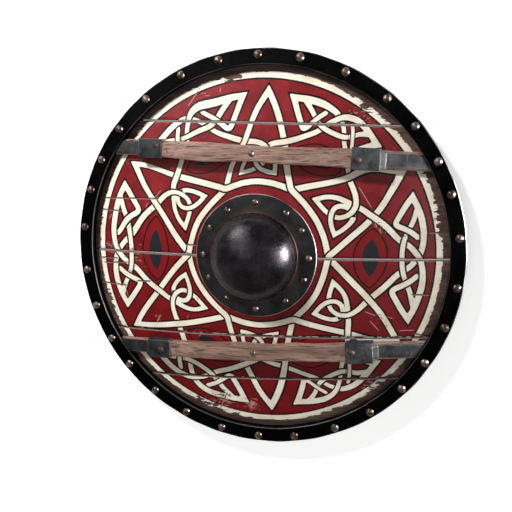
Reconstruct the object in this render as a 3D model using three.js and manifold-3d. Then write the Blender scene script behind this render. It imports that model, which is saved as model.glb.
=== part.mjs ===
// A round wooden shield that lies on its back, in millimetres, +Z up.
// +Z is the way the boss points, +X runs to the right along the battens, and the
// origin is the middle of the iron rim's underside. The board is a shallow dome of
// five planks, bound by an iron rim, with two battens across its face.

import * as THREE from "three";
import { mergeVertices } from "three/addons/utils/BufferGeometryUtils.js";
import Module from "manifold-3d";

const wasm = await Module();
wasm.setup();

// Driving dimensions of the rim, a C-shaped band around the edge of the board
const outerRadius = 380;
const rimGauge = 2.5;
const rimFaceWidth = 29;
const rimHeight = 35.5;
const rimLipWidth = 26;
const rimBevel = 2.4;
const rimInnerBevel = 1;

// The board: how thick it is, how far its middle stands above its edge, and its joints
const boardThickness = 10;
const boardCrown = 46;
const seamGap = 0.8;
const handHoleRadius = 76;

// Each joint between two planks: its height at the left and the right edge, as a
// share of the outer radius
const seams = [
  { left: 0.705, right: 0.595 },
  { left: 0.008, right: -0.013 },
  { left: -0.426, right: -0.392 },
  { left: -0.695, right: -0.595 },
];
const plankNames = ["plank_top", "plank_upper", "plank_middle", "plank_lower", "plank_bottom"];

// The boss, a hollow iron dome on a waist, with a flange that follows the board
const bossGauge = 2.5;
const bossFlangeRadius = 117;
const bossNeckRadius = 80;
const bossNeckFillet = 4;
const bossNeckHeight = 9;
const bossDomeRadius = 83;
const bossDomeHeight = 54;

// Rivets: size of the heads, the circles that they stand on, and how far each one was
// set off its even place, in degrees
const rimRivetCount = 30;
const rimRivetInset = 12.5;
const rimRivetHead = { radius: 7.8, height: 4.6 };
const rimRivetWander = [
  -1.2, -1.4, -2.8, -4.4, -3.2, -2.6, -0.2, -0.5, -2.4, -2.3, -2.1, -0.4, -0.5, -0.5, -1.5,
  -1.0, -1.1, -1.7, -1.9, -1.9, -0.1, 0.1, 0.1, -1.8, -2.0, -0.1, 0.5, 0.0, -1.1, -1.3,
];
const bossRivetCount = 12;
const bossRivetInset = 15.5;
const bossRivetHead = { radius: 6.2, height: 3.6 };
const bossRivetWander = [-1.2, -6.7, -1.1, -1.3, 5.1, 4.3, -0.7, -4.6, -5.6, -0.8, -1.7, 1.0];
const battenRivetHead = { radius: 5.6, height: 3.4 };
const rivetSides = 8;

// The battens, two hewn bars held at both ends by iron straps that reach the rim
const battenWidth = 32;
const battenThickness = 22;
const battenEndThickness = 10;
const battenTaper = 9;
const battenHewing = 2.2;
const hewingLength = 260;
const battenRimGap = 0.6;
const sleeveLength = 50;
const strapGauge = 2.4;
const strapWidth = 24;

// Where each batten lies: how far its centreline passes from the origin, how far its
// middle is shifted along it, and how far its sleeves start from that middle
const topBattenOffset = 189.5;
const topBattenShift = -13.4;
const topSleeveReach = 179.5;
const bottomBattenOffset = -185;
const bottomBattenShift = -12.5;
const bottomSleeveReach = 174.5;
const battens = [
  { name: "top", offset: topBattenOffset, turn: -4, sleeveReach: topSleeveReach, shift: topBattenShift },
  {
    name: "bottom",
    offset: bottomBattenOffset,
    turn: 2.25,
    sleeveReach: bottomSleeveReach,
    shift: bottomBattenShift,
  },
];

// The grip, a wooden bar across the hand hole on the back
const gripLength = 250;
const gripWidth = 34;
const gripWaist = 27;
const gripThickness = 20;
const gripRounding = 3;
const gripRivetInset = 23.5;

// Space between pieces that touch, and how finely round shapes are cut
const fit = 0.3;
const ringSides = 72;
const bossSides = 40;
const boardRings = 7;
const battenSteps = 14;
const domeSteps = 6;
const reach = 200;

// Sizes that follow from the ones above
const rimInnerRadius = outerRadius - rimFaceWidth;
const boardRadius = outerRadius - rimGauge - fit;
const rimRivetRadius = outerRadius - rimRivetInset;
const bossRivetRadius = bossFlangeRadius - bossRivetInset;

/** Height of the board's front at a distance from the middle. */
function boardFront(radius) {
  const fall = (radius / boardRadius) ** 2;
  return rimGauge + fit + boardThickness + boardCrown * (1 - fall);
}

/** Height of the board's back at a distance from the middle. */
function boardBack(radius) {
  return boardFront(radius) - boardThickness;
}

/** A solid for joining and cutting, from a closed geometry. */
function solidFrom(geometry) {
  const bare = geometry.clone();
  bare.deleteAttribute("normal");
  bare.deleteAttribute("uv");
  const merged = mergeVertices(bare, 1e-4);
  return new wasm.Manifold(new wasm.Mesh({
    numProp: 3,
    vertProperties: new Float32Array(merged.attributes.position.array),
    triVerts: new Uint32Array(merged.index.array),
  }));
}

/** A geometry to show, from a solid. */
function geometryFrom(solid) {
  const mesh = solid.getMesh();
  const geometry = new THREE.BufferGeometry();
  geometry.setAttribute("position", new THREE.BufferAttribute(mesh.vertProperties, 3));
  geometry.setIndex(new THREE.BufferAttribute(mesh.triVerts, 1));
  geometry.computeVertexNormals();
  return geometry;
}

/** A body turned about the upright axis, from [radius, height] pairs. */
function turned(profile, sides) {
  const points = profile.map(([radius, height]) => new THREE.Vector2(radius, height));
  return new THREE.LatheGeometry(points, sides).rotateX(Math.PI / 2);
}

/** An upright prism from [x, y] pairs, between two heights. */
function upright(outline, bottom, top) {
  const shape = new THREE.Shape(outline.map(([x, y]) => new THREE.Vector2(x, y)));
  const geometry = new THREE.ExtrudeGeometry(shape, { depth: top - bottom, bevelEnabled: false });
  return geometry.translate(0, 0, bottom);
}

const materials = {
  paint: new THREE.MeshStandardMaterial({ color: 0x8a2a2e, roughness: 0.6, metalness: 0 }),
  wood: new THREE.MeshStandardMaterial({ color: 0x8f6d5c, roughness: 0.75, metalness: 0 }),
  rim: new THREE.MeshStandardMaterial({ color: 0x1b1b1d, roughness: 0.55, metalness: 0.8 }),
  boss: new THREE.MeshStandardMaterial({ color: 0x4a4648, roughness: 0.3, metalness: 1 }),
  rivet: new THREE.MeshStandardMaterial({ color: 0x8d857c, roughness: 0.4, metalness: 1 }),
  strap: new THREE.MeshStandardMaterial({ color: 0x333335, roughness: 0.5, metalness: 0.9 }),
};

/** A named mesh. */
function piece(name, geometry, material) {
  const mesh = new THREE.Mesh(geometry, material);
  mesh.name = name;
  return mesh;
}

/** The board before it is cut into planks, raised by a distance at the front only. */
function boardBlank(raise, radius, bottomAt) {
  const front = [];
  const back = [];
  for (let step = 0; step <= boardRings; step += 1) {
    const at = (radius * step) / boardRings;
    front.unshift([at, boardFront(at) + raise]);
    back.push([at, bottomAt(at)]);
  }
  return solidFrom(turned([...back, ...front], ringSides));
}

/** The height of a joint at the left or right end of a line across the board. */
function seamEdge(index, side) {
  if (index < 0) {
    return outerRadius;
  }
  return index < seams.length ? seams[index][side] * outerRadius : -outerRadius;
}

/** The five planks, cut from one dome along their joints. */
function planks() {
  const blank = boardBlank(0, boardRadius, boardBack);
  const hole = solidFrom(turned([[0, 0], [handHoleRadius, 0], [handHoleRadius, reach], [0, reach]], bossSides));
  const board = blank.subtract(hole);
  const half = seamGap / 2;
  return plankNames.map((name, index) => {
    const outline = [
      [-outerRadius, seamEdge(index, "left") + half],
      [outerRadius, seamEdge(index, "right") + half],
      [outerRadius, seamEdge(index - 1, "right") - half],
      [-outerRadius, seamEdge(index - 1, "left") - half],
    ];
    const plank = board.intersect(solidFrom(upright(outline, 0, reach)));
    return piece(name, geometryFrom(plank), materials.paint);
  });
}

/** The rim: front band, outer wall, back lip and the short wall that meets the board. */
function rim() {
  const foot = boardFront(rimInnerRadius) + fit;
  const lipEdge = outerRadius - rimLipWidth;
  const profile = [
    [lipEdge, 0],
    [outerRadius, 0],
    [outerRadius, rimHeight - rimBevel],
    [outerRadius - rimBevel, rimHeight],
    [rimInnerRadius + rimInnerBevel, rimHeight],
    [rimInnerRadius, rimHeight - rimInnerBevel],
    [rimInnerRadius, foot],
    [rimInnerRadius + rimGauge, foot],
    [rimInnerRadius + rimGauge, rimHeight - rimGauge],
    [outerRadius - rimGauge, rimHeight - rimGauge],
    [outerRadius - rimGauge, rimGauge],
    [lipEdge, rimGauge],
    [lipEdge, 0],
  ];
  return piece("rim", turned(profile, ringSides), materials.rim);
}

/** Height of the flange's upper side at a distance from the middle. */
function flangeTop(radius) {
  return boardFront(radius) + fit + bossGauge;
}

/** One skin of the boss, from its flange's edge up to the crown. */
function bossSkin(inset) {
  const neck = bossNeckRadius - inset;
  const dome = bossDomeRadius - inset;
  const foot = flangeTop(bossNeckRadius + bossNeckFillet) - inset;
  const widest = flangeTop(bossNeckRadius) + bossNeckHeight;
  const skin = [
    [bossFlangeRadius, flangeTop(bossFlangeRadius) - inset],
    [neck + bossNeckFillet, foot],
    [neck, foot + bossNeckFillet],
  ];
  for (let step = 0; step <= domeSteps; step += 1) {
    const lift = (Math.PI / 2) * (step / domeSteps);
    skin.push([dome * Math.cos(lift), widest + (bossDomeHeight - inset) * Math.sin(lift)]);
  }
  skin[skin.length - 1][0] = 0;
  return skin;
}

/** The boss: a dome of even thickness, open below. */
function boss() {
  const outer = bossSkin(0);
  const inner = bossSkin(bossGauge).reverse();
  return piece("boss", turned([...inner, ...outer], bossSides), materials.boss);
}

/** A rivet's head: a low dome with a flat foot. */
function rivetHead({ radius, height }) {
  const profile = [
    [0, 0],
    [radius, 0],
    [radius * 0.96, height * 0.35],
    [radius * 0.62, height * 0.86],
    [0, height],
  ];
  return turned(profile, rivetSides);
}

/** Rivets around a circle, counted clockwise from the top, square to what they stand on. */
function rivetCircle(prefix, count, radius, height, head, slope, wander) {
  const circle = new THREE.Group();
  for (let index = 0; index < count; index += 1) {
    const spoke = new THREE.Group();
    const even = Math.PI / 2 - (2 * Math.PI * index) / count;
    spoke.rotation.z = even + THREE.MathUtils.degToRad(wander[index % wander.length]);
    const name = `${prefix}_${String(index + 1).padStart(2, "0")}`;
    const rivet = piece(name, rivetHead(head), materials.rivet);
    rivet.position.set(radius, 0, height);
    rivet.rotation.y = slope;
    spoke.add(rivet);
    circle.add(spoke);
  }
  return circle;
}

/** Rivets on the rim's front band. */
function rimRivets() {
  return rivetCircle("rim_rivet", rimRivetCount, rimRivetRadius, rimHeight + fit, rimRivetHead, 0, rimRivetWander);
}

/** Rivets on the boss's flange, which slopes with the board. */
function bossRivets() {
  const run = bossFlangeRadius - bossNeckRadius - bossNeckFillet;
  const inside = flangeTop(bossNeckRadius + bossNeckFillet);
  const fall = inside - flangeTop(bossFlangeRadius);
  const height = inside - (fall * (run - bossRivetInset)) / run + fit;
  const slope = Math.atan2(fall, run);
  return rivetCircle("boss_rivet", bossRivetCount, bossRivetRadius, height, bossRivetHead, slope, bossRivetWander);
}

/** Thickness of a batten at a place along it: full between its sleeves, thin beyond them. */
function battenDepth(batten, along) {
  const past = Math.abs(along - batten.shift) - batten.sleeveReach - sleeveLength;
  const share = THREE.MathUtils.clamp(past / battenTaper, 0, 1);
  return THREE.MathUtils.lerp(battenThickness, battenEndThickness, share);
}

/** Half the width of a batten at a place along it, as the axe left it. */
function battenHalfWidth(along) {
  return battenWidth / 2 + battenHewing * Math.sin((2 * Math.PI * along) / hewingLength);
}

/** The places along a batten where its outline turns. */
function battenPlaces(batten) {
  const bend = batten.sleeveReach + sleeveLength;
  const places = [batten.shift - bend - battenTaper, batten.shift + bend + battenTaper];
  for (let step = 0; step <= battenSteps; step += 1) {
    places.push(batten.shift + bend * ((2 * step) / battenSteps - 1));
  }
  places.push(-outerRadius, outerRadius);
  return places.sort((a, b) => a - b);
}

/** A bar that follows the board, grown on its front and sides, from one place to another. */
function battenBlank(batten, grow, halfWidth, from, to) {
  const inner = battenPlaces(batten).filter((at) => at > from && at < to);
  const places = [from, ...inner, to];
  const ridge = places.map((at) => {
    const radius = Math.hypot(at, batten.offset);
    return [at, boardFront(radius) + battenDepth(batten, at) + grow];
  });
  const side = [[from, -outerRadius], [to, -outerRadius], ...ridge.reverse()];
  const across = 2 * (halfWidth(0) + battenWidth);
  const slab = upright(side, 0, across).rotateX(Math.PI / 2).translate(0, across / 2 + batten.offset, 0);
  const near = places.map((at) => [at, batten.offset - halfWidth(at)]);
  const far = places.map((at) => [at, batten.offset + halfWidth(at)]).reverse();
  const outline = upright([...near, ...far], -reach, reach);
  const turn = THREE.MathUtils.degToRad(batten.turn);
  return solidFrom(slab.rotateZ(turn)).intersect(solidFrom(outline.rotateZ(turn)));
}

/** What a batten or strap may fill: above the board, inside the rim. */
function battenRoom() {
  const inside = rimInnerRadius - battenRimGap;
  const room = solidFrom(turned([[0, 0], [inside, 0], [inside, reach], [0, reach]], ringSides));
  return room.subtract(boardBlank(fit, boardRadius, () => -reach));
}

/** One batten, scribed to the board. */
function battenBar(batten, room) {
  const bar = battenBlank(batten, 0, battenHalfWidth, -outerRadius, outerRadius).intersect(room);
  return piece(`${batten.name}_batten`, geometryFrom(bar), materials.wood);
}

/** The rivet through the middle of a batten. */
function battenRivet(batten) {
  const spoke = new THREE.Group();
  spoke.rotation.z = THREE.MathUtils.degToRad(batten.turn);
  const rivet = piece(`${batten.name}_batten_rivet`, rivetHead(battenRivetHead), materials.rivet);
  const height = boardFront(Math.hypot(batten.shift, batten.offset)) + battenThickness + fit;
  rivet.position.set(batten.shift, batten.offset, height);
  spoke.add(rivet);
  return spoke;
}

/** An iron end fitting: a sleeve around the batten, its rivet, and a strap out to the rim. */
function battenStrap(batten, sideName, sign, room) {
  const skin = fit + strapGauge;
  const near = batten.shift + sign * batten.sleeveReach;
  const far = near + sign * sleeveLength;
  const rimEnd = sign * outerRadius;
  const span = (a, b) => [Math.min(a, b), Math.max(a, b)];
  const sleeve = battenBlank(batten, skin, (at) => battenHalfWidth(at) + skin, ...span(near, far));
  const strap = battenBlank(batten, skin, () => strapWidth / 2, ...span(near, rimEnd));
  const wood = battenBlank(batten, fit, (at) => battenHalfWidth(at) + fit, -outerRadius, outerRadius);
  const middle = (near + far) / 2;
  const top = boardFront(Math.hypot(middle, batten.offset)) + battenThickness + fit + strapGauge / 2;
  const turn = THREE.MathUtils.degToRad(batten.turn);
  const head = rivetHead(battenRivetHead).translate(middle, batten.offset, top).rotateZ(turn);
  const iron = sleeve.add(strap).subtract(wood).intersect(room).add(solidFrom(head));
  return piece(`${batten.name}_${sideName}_strap`, geometryFrom(iron), materials.strap);
}

/** A batten with its rivet and its two straps. */
function dressedBatten(batten, room) {
  const group = new THREE.Group();
  group.add(battenBar(batten, room));
  group.add(battenRivet(batten));
  group.add(battenStrap(batten, "left", -1, room));
  group.add(battenStrap(batten, "right", 1, room));
  return group;
}

/** The grip across the back, waisted for the hand, with a rivet at each end. */
function grip() {
  const group = new THREE.Group();
  const halfLength = gripLength / 2 - gripRounding;
  const outline = new THREE.Shape();
  const halfEnd = gripWidth / 2 - gripRounding;
  const pull = gripWaist - gripWidth / 2 - gripRounding;
  outline.moveTo(-halfEnd, -halfLength);
  outline.lineTo(halfEnd, -halfLength);
  outline.quadraticCurveTo(pull, 0, halfEnd, halfLength);
  outline.lineTo(-halfEnd, halfLength);
  outline.quadraticCurveTo(-pull, 0, -halfEnd, -halfLength);
  const bar = new THREE.ExtrudeGeometry(outline, {
    depth: gripThickness - 2 * gripRounding,
    bevelThickness: gripRounding,
    bevelSize: gripRounding,
    bevelSegments: 2,
    curveSegments: 8,
  });
  const top = boardBack(Math.hypot(gripLength, gripWidth) / 2) - fit;
  bar.translate(0, 0, top - gripThickness + gripRounding);
  group.add(piece("hand_grip", geometryFrom(solidFrom(bar)), materials.wood));
  for (const [end, sign] of [["top", 1], ["bottom", -1]]) {
    const rivet = piece(`grip_${end}_rivet`, rivetHead(battenRivetHead), materials.rivet);
    rivet.position.set(0, sign * (gripLength / 2 - gripRivetInset), top - gripThickness - fit);
    rivet.rotation.x = Math.PI;
    group.add(rivet);
  }
  return group;
}

const shield = new THREE.Group();
shield.add(...planks(), rim(), rimRivets(), boss(), bossRivets(), grip());
const room = battenRoom();
shield.add(...battens.map((batten) => dressedBatten(batten, room)));

export default shield;
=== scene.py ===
"""A round wooden shield with an iron rim and boss, painted with ribbon knotwork.

The shield lies on its back, face up. +Z is the way the boss points, +X runs to the
right along the battens and +Y is the top of the face. Sizes in the classes are in
millimetres. Every mesh is in metres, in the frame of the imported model.
"""

from __future__ import annotations

import logging
import math
from collections.abc import Callable, Iterator, Sequence
from contextlib import contextmanager
from dataclasses import dataclass, field
from enum import Enum

import bmesh
import bpy
import numpy as np
from mathutils import Matrix, Vector


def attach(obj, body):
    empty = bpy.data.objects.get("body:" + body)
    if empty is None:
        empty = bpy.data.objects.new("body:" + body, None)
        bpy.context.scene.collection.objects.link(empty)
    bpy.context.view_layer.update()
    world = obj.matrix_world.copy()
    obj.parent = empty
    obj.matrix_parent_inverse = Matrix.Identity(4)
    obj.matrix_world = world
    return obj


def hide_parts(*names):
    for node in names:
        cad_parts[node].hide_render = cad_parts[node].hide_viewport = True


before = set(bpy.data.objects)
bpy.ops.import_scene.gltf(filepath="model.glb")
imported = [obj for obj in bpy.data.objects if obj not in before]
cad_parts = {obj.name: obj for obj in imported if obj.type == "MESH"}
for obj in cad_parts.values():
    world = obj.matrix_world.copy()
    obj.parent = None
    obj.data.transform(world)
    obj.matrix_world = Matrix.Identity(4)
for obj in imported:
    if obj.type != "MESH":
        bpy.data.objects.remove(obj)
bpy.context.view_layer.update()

LOG = logging.getLogger("shield")
MM = 0.001
FIT = 0.3


# Bench: selecting, editing and finishing a mesh


def put_down() -> None:
    """Leaves object mode on and nothing selected."""
    if bpy.context.object is not None and bpy.context.object.mode != "OBJECT":
        bpy.ops.object.mode_set(mode="OBJECT")
    bpy.ops.object.select_all(action="DESELECT")


def pick_up(piece: bpy.types.Object) -> None:
    """Makes one object the only one selected, and the active one."""
    put_down()
    piece.select_set(True)
    bpy.context.view_layer.objects.active = piece


@contextmanager
def on_bench(piece: bpy.types.Object) -> Iterator[bmesh.types.BMesh]:
    """Edit mode on one object, with nothing in it selected at the start.

    Args:
        piece: The object to edit.

    Yields:
        The mesh in edit mode, for choosing what an operator works on.
    """
    pick_up(piece)
    bpy.ops.object.mode_set(mode="EDIT")
    bpy.ops.mesh.select_mode(type="VERT")
    bpy.ops.mesh.select_all(action="DESELECT")
    yield bmesh.from_edit_mesh(piece.data)
    bpy.ops.object.mode_set(mode="OBJECT")


def choose(mesh: bmesh.types.BMesh, wanted: Callable[[Vector], bool]) -> None:
    """Selects the vertices whose place is wanted.

    Args:
        mesh: The mesh in edit mode.
        wanted: Says of a place in metres whether its vertex is selected.
    """
    for vert in mesh.verts:
        vert.select_set(wanted(vert.co))
    mesh.select_flush_mode()


def finish_with(piece: bpy.types.Object, kind: str, **settings: object) -> None:
    """Adds a modifier and applies it.

    Args:
        piece: The object that gets it.
        kind: The modifier's type.
        **settings: Values for the modifier.
    """
    pick_up(piece)
    modifier = piece.modifiers.new(kind.title(), kind)
    for name, value in settings.items():
        setattr(modifier, name, value)
    bpy.ops.object.modifier_apply(modifier=modifier.name)


def round_edges(piece: bpy.types.Object, width: float, segments: int) -> None:
    """Rounds every edge that turns by more than 50 degrees.

    Args:
        piece: The object.
        width: How far the rounding reaches from the edge, in millimetres.
        segments: How many faces it gets.
    """
    sharp = math.radians(50)
    finish_with(piece, "BEVEL", width=width * MM, segments=segments, limit_method="ANGLE", angle_limit=sharp)


def set_in_place(piece: bpy.types.Object) -> None:
    """Moves an object's place, turn and scale into its mesh."""
    pick_up(piece)
    bpy.ops.object.transform_apply(location=True, rotation=True, scale=True)


def close_seams(piece: bpy.types.Object) -> None:
    """Merges doubled points and turns every face outwards."""
    with on_bench(piece):
        bpy.ops.mesh.select_all(action="SELECT")
        bpy.ops.mesh.remove_doubles(threshold=0.01 * MM)
        bpy.ops.mesh.normals_make_consistent(inside=False)


def soften(piece: bpy.types.Object, degrees: float) -> None:
    """Shades smooth, apart from edges sharper than an angle."""
    pick_up(piece)
    bpy.ops.object.shade_smooth_by_angle(angle=math.radians(degrees))


def points_of(piece: bpy.types.Object) -> np.ndarray:
    """The vertices of a piece, in millimetres, one row each."""
    flat = np.empty(len(piece.data.vertices) * 3)
    piece.data.vertices.foreach_get("co", flat)
    return flat.reshape(-1, 3) / MM


def move_points(piece: bpy.types.Object, points: np.ndarray) -> None:
    """Puts the vertices of a piece at places given in millimetres."""
    piece.data.vertices.foreach_set("co", (points * MM).ravel())
    piece.data.update()


def write_mark(piece: bpy.types.Object, name: str, values: np.ndarray, domain: str = "POINT") -> None:
    """Keeps one number per vertex or face on a piece, for its material to read."""
    layer = piece.data.attributes.new(name, "FLOAT", domain)
    layer.data.foreach_set("value", values.astype(np.float32))


def spare(piece: bpy.types.Object, name: str) -> bpy.types.Object:
    """A copy of a piece with a mesh of its own.

    Args:
        piece: The piece to copy.
        name: The copy's name.

    Returns:
        The copy, in the scene.
    """
    twin = piece.copy()
    twin.data = piece.data.copy()
    twin.name = name
    twin.data.name = name
    bpy.context.scene.collection.objects.link(twin)
    return twin


def scrap(piece: bpy.types.Object) -> None:
    """Takes a helper object and its mesh out of the scene."""
    mesh = piece.data
    bpy.data.objects.remove(piece)
    bpy.data.meshes.remove(mesh)


def join_all(pieces: Sequence[bpy.types.Object]) -> bpy.types.Object:
    """Joins pieces into the first of them."""
    put_down()
    for piece in pieces:
        piece.select_set(True)
    bpy.context.view_layer.objects.active = pieces[0]
    bpy.ops.object.join()
    return pieces[0]


def added(name: str) -> bpy.types.Object:
    """The primitive that was just added, under its own name."""
    piece = bpy.context.object
    piece.name = name
    piece.data.name = name
    return piece


def sheet(name: str, across: tuple[int, int], size: tuple[float, float]) -> bpy.types.Object:
    """A flat grid about the origin.

    Args:
        name: The new piece's name.
        across: How many cells it has along X and Y.
        size: Its length along X and Y in millimetres.

    Returns:
        The grid.
    """
    put_down()
    bpy.ops.mesh.primitive_grid_add(x_subdivisions=across[0], y_subdivisions=across[1], size=1.0)
    piece = added(name)
    piece.scale = (size[0] * MM, size[1] * MM, 1.0)
    set_in_place(piece)
    return piece


def turned(name: str, profile: Sequence[tuple[float, float]], steps: int) -> bpy.types.Object:
    """A closed profile spun about the upright axis.

    Args:
        name: The new piece's name.
        profile: Radius and height of each point in millimetres, round the section.
        steps: How many steps make the full turn.

    Returns:
        The turned piece, closed and with its faces outwards.
    """
    put_down()
    bpy.ops.mesh.primitive_circle_add(vertices=len(profile), fill_type="NOTHING")
    piece = added(name)
    move_points(piece, np.array([(radius, 0.0, height) for radius, height in profile]))
    with on_bench(piece):
        bpy.ops.mesh.select_all(action="SELECT")
        bpy.ops.mesh.spin(steps=steps, angle=2.0 * math.pi, center=(0, 0, 0), axis=(0, 0, 1))
    close_seams(piece)
    return piece


def ripple(points: np.ndarray, length: float, seed: int) -> np.ndarray:
    """Soft uneven waves in space, between about -1 and 1.

    Args:
        points: Places in millimetres, one row each.
        length: How long the waves are.
        seed: Picks one set of waves.

    Returns:
        One height per place.
    """
    draw = np.random.default_rng(seed)
    total = np.zeros(len(points))
    for _ in range(7):
        heading = draw.normal(size=3)
        heading *= draw.uniform(0.6, 1.5) / np.linalg.norm(heading)
        total += np.sin(points @ heading * (2.0 * math.pi / length) + draw.uniform(0.0, 6.28))
    return total / 3.2


def hand_over(piece: bpy.types.Object, slot: str, *nodes: str) -> None:
    """Puts a finished piece on the shield in place of its plain nodes.

    Args:
        piece: The finished piece.
        slot: The record's material slot; not used.
        *nodes: The nodes that it stands for.
    """
    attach(piece, "root")
    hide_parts(*nodes)
    LOG.info("%s: %d faces", piece.name, len(piece.data.polygons))


# Shader tools


Socket = bpy.types.NodeSocket
Wire = Socket | float | tuple


class Loom:
    """Adds nodes to one shader tree and wires them up."""

    def __init__(self, tree: bpy.types.ShaderNodeTree) -> None:
        """Works on one tree.

        Args:
            tree: The material's or group's node tree.
        """
        self.tree = tree
        self.column = 0

    def node(self, kind: str, **inputs: Wire) -> bpy.types.Node:
        """Adds a node and sets or wires its inputs, whose names are written with underscores."""
        new = self.tree.nodes.new(kind)
        new.location = (self.column * 40.0, -(self.column % 7) * 160.0)
        self.column += 1
        for name, wire in inputs.items():
            self.feed(new.inputs[name.replace("_", " ")], wire)
        return new

    def feed(self, target: Socket, wire: Wire) -> None:
        """Wires a socket to a target, or sets the target to a value."""
        if isinstance(wire, bpy.types.NodeSocket):
            self.tree.links.new(wire, target)
        else:
            target.default_value = wire

    def math(self, operation: str, first: Wire, second: Wire = 0.0, third: Wire = 0.0) -> Socket:
        """One sum, such as ADD or MULTIPLY."""
        new = self.node("ShaderNodeMath")
        new.operation = operation
        for target, wire in zip(new.inputs, (first, second, third)):
            self.feed(target, wire)
        return new.outputs[0]

    def mix(self, share: Wire, first: Wire, second: Wire) -> Socket:
        """A colour between two, by a share from 0 to 1."""
        new = self.node("ShaderNodeMix")
        new.data_type = "RGBA"
        for index, wire in ((0, share), (6, first), (7, second)):
            self.feed(new.inputs[index], wire)
        return new.outputs[2]

    def step(self, value: Wire, low: float, high: float, to_low: float = 0.0, to_high: float = 1.0) -> Socket:
        """A smooth step from one value to another as the input passes from low to high."""
        new = self.node("ShaderNodeMapRange")
        new.interpolation_type = "SMOOTHSTEP"
        for target, wire in zip(new.inputs, (value, low, high, to_low, to_high)):
            self.feed(target, wire)
        return new.outputs[0]

    def stroke(self, gap: Wire, reach: float, soft: float = 0.6) -> Socket:
        """A line, from a distance to its middle: 1 on it and 0 beyond its reach."""
        return self.step(self.math("ABSOLUTE", gap), reach, reach - soft)

    def noise(self, place: Socket, scale: float, detail: float = 4.0, rough: float = 0.55) -> Socket:
        """Soft noise about 0.5."""
        new = self.node("ShaderNodeTexNoise", Vector=place, Scale=scale, Detail=detail, Roughness=rough)
        return new.outputs[0]

    def stretched(self, place: Socket, scale: tuple[float, float, float], turn: float = 0.0) -> Socket:
        """A place, scaled along its axes and turned about Z."""
        new = self.node("ShaderNodeMapping", Vector=place, Scale=scale, Rotation=(0.0, 0.0, turn))
        return new.outputs[0]

    def place(self) -> Socket:
        """The object's own coordinates, in metres."""
        return self.node("ShaderNodeTexCoord").outputs["Object"]

    def mark(self, name: str) -> Socket:
        """A number that the mesh carries."""
        new = self.node("ShaderNodeAttribute")
        new.attribute_name = name
        return new.outputs["Fac"]

    def group(self, tree: bpy.types.ShaderNodeTree, **inputs: Wire) -> bpy.types.Node:
        """Places a node group."""
        new = self.node("ShaderNodeGroup")
        new.node_tree = tree
        for name, wire in inputs.items():
            self.feed(new.inputs[name.replace("_", " ")], wire)
        return new

    def bump(self, height: Socket, depth: float, strength: float = 1.0) -> Socket:
        """A normal from a height between 0 and 1, times a depth in millimetres."""
        new = self.node("ShaderNodeBump", Height=height, Strength=strength, Distance=depth * MM)
        return new.outputs[0]


def srgb(red: int, green: int, blue: int) -> tuple[float, float, float, float]:
    """A colour from screen values to the renderer's own."""
    line = [value / 255.0 for value in (red, green, blue)]
    return (*[v / 12.92 if v <= 0.04045 else ((v + 0.055) / 1.055) ** 2.4 for v in line], 1.0)


def effect_group(name: str, gives: Sequence[str]) -> tuple[Loom, Socket, bpy.types.Node]:
    """A node group that takes a place and its coarseness, and gives numbers.

    Args:
        name: The group's name.
        gives: The names of its outputs.

    Returns:
        A loom on the group, the place times its coarseness, and the output node.
    """
    tree = bpy.data.node_groups.new(name, "ShaderNodeTree")
    for label, kind in (("Place", "NodeSocketVector"), ("Coarseness", "NodeSocketFloat")):
        tree.interface.new_socket(name=label, in_out="INPUT", socket_type=kind)
    for label in gives:
        tree.interface.new_socket(name=label, in_out="OUTPUT", socket_type="NodeSocketFloat")
    loom = Loom(tree)
    come = loom.node("NodeGroupInput")
    sized = loom.node("ShaderNodeVectorMath")
    sized.operation = "SCALE"
    loom.feed(sized.inputs[0], come.outputs["Place"])
    loom.feed(sized.inputs["Scale"], come.outputs["Coarseness"])
    return loom, sized.outputs[0], loom.node("NodeGroupOutput")


def grain_group() -> bpy.types.ShaderNodeTree:
    """Split wood grain that runs along X: tone, dark pores and height."""
    loom, place, go = effect_group("Wood grain", ("Tone", "Pores", "Height"))
    bands = loom.noise(loom.stretched(place, (5.0, 80.0, 80.0)), 1.0, 6.0, 0.6)
    fibres = loom.noise(loom.stretched(place, (24.0, 620.0, 620.0)), 1.0, 5.0, 0.62)
    specks = loom.noise(loom.stretched(place, (60.0, 900.0, 900.0)), 1.0, 2.0, 0.5)
    pores = loom.math("MULTIPLY", loom.step(specks, 0.6, 0.68), loom.step(bands, 0.4, 0.6))
    tone = loom.math("ADD", loom.math("MULTIPLY", bands, 0.6), loom.math("MULTIPLY", fibres, 0.4))
    height = loom.math("SUBTRACT", loom.math("MULTIPLY", fibres, 0.7), loom.math("MULTIPLY", pores, 0.5))
    loom.feed(go.inputs["Tone"], tone)
    loom.feed(go.inputs["Pores"], pores)
    loom.feed(go.inputs["Height"], height)
    return loom.tree


def iron_group() -> bpy.types.ShaderNodeTree:
    """Forged iron: cloudy tone, fine pitting, rubbed streaks and height."""
    loom, place, go = effect_group("Forged iron", ("Cloud", "Pits", "Rub", "Height"))
    cloud = loom.noise(place, 24.0, 5.0, 0.6)
    grit = loom.noise(place, 620.0, 3.0, 0.6)
    pits = loom.step(loom.noise(place, 260.0, 3.0, 0.6), 0.62, 0.74)
    rub = loom.step(loom.noise(loom.stretched(place, (180.0, 26.0, 26.0), 0.6), 1.0, 6.0, 0.7), 0.56, 0.74)
    blows = loom.noise(place, 60.0, 2.0, 0.5)
    height = loom.math("ADD", loom.math("MULTIPLY", blows, 0.6), loom.math("MULTIPLY", grit, 0.25))
    loom.feed(go.inputs["Cloud"], cloud)
    loom.feed(go.inputs["Pits"], pits)
    loom.feed(go.inputs["Rub"], rub)
    loom.feed(go.inputs["Height"], loom.math("SUBTRACT", height, loom.math("MULTIPLY", pits, 0.35)))
    return loom.tree


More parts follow.
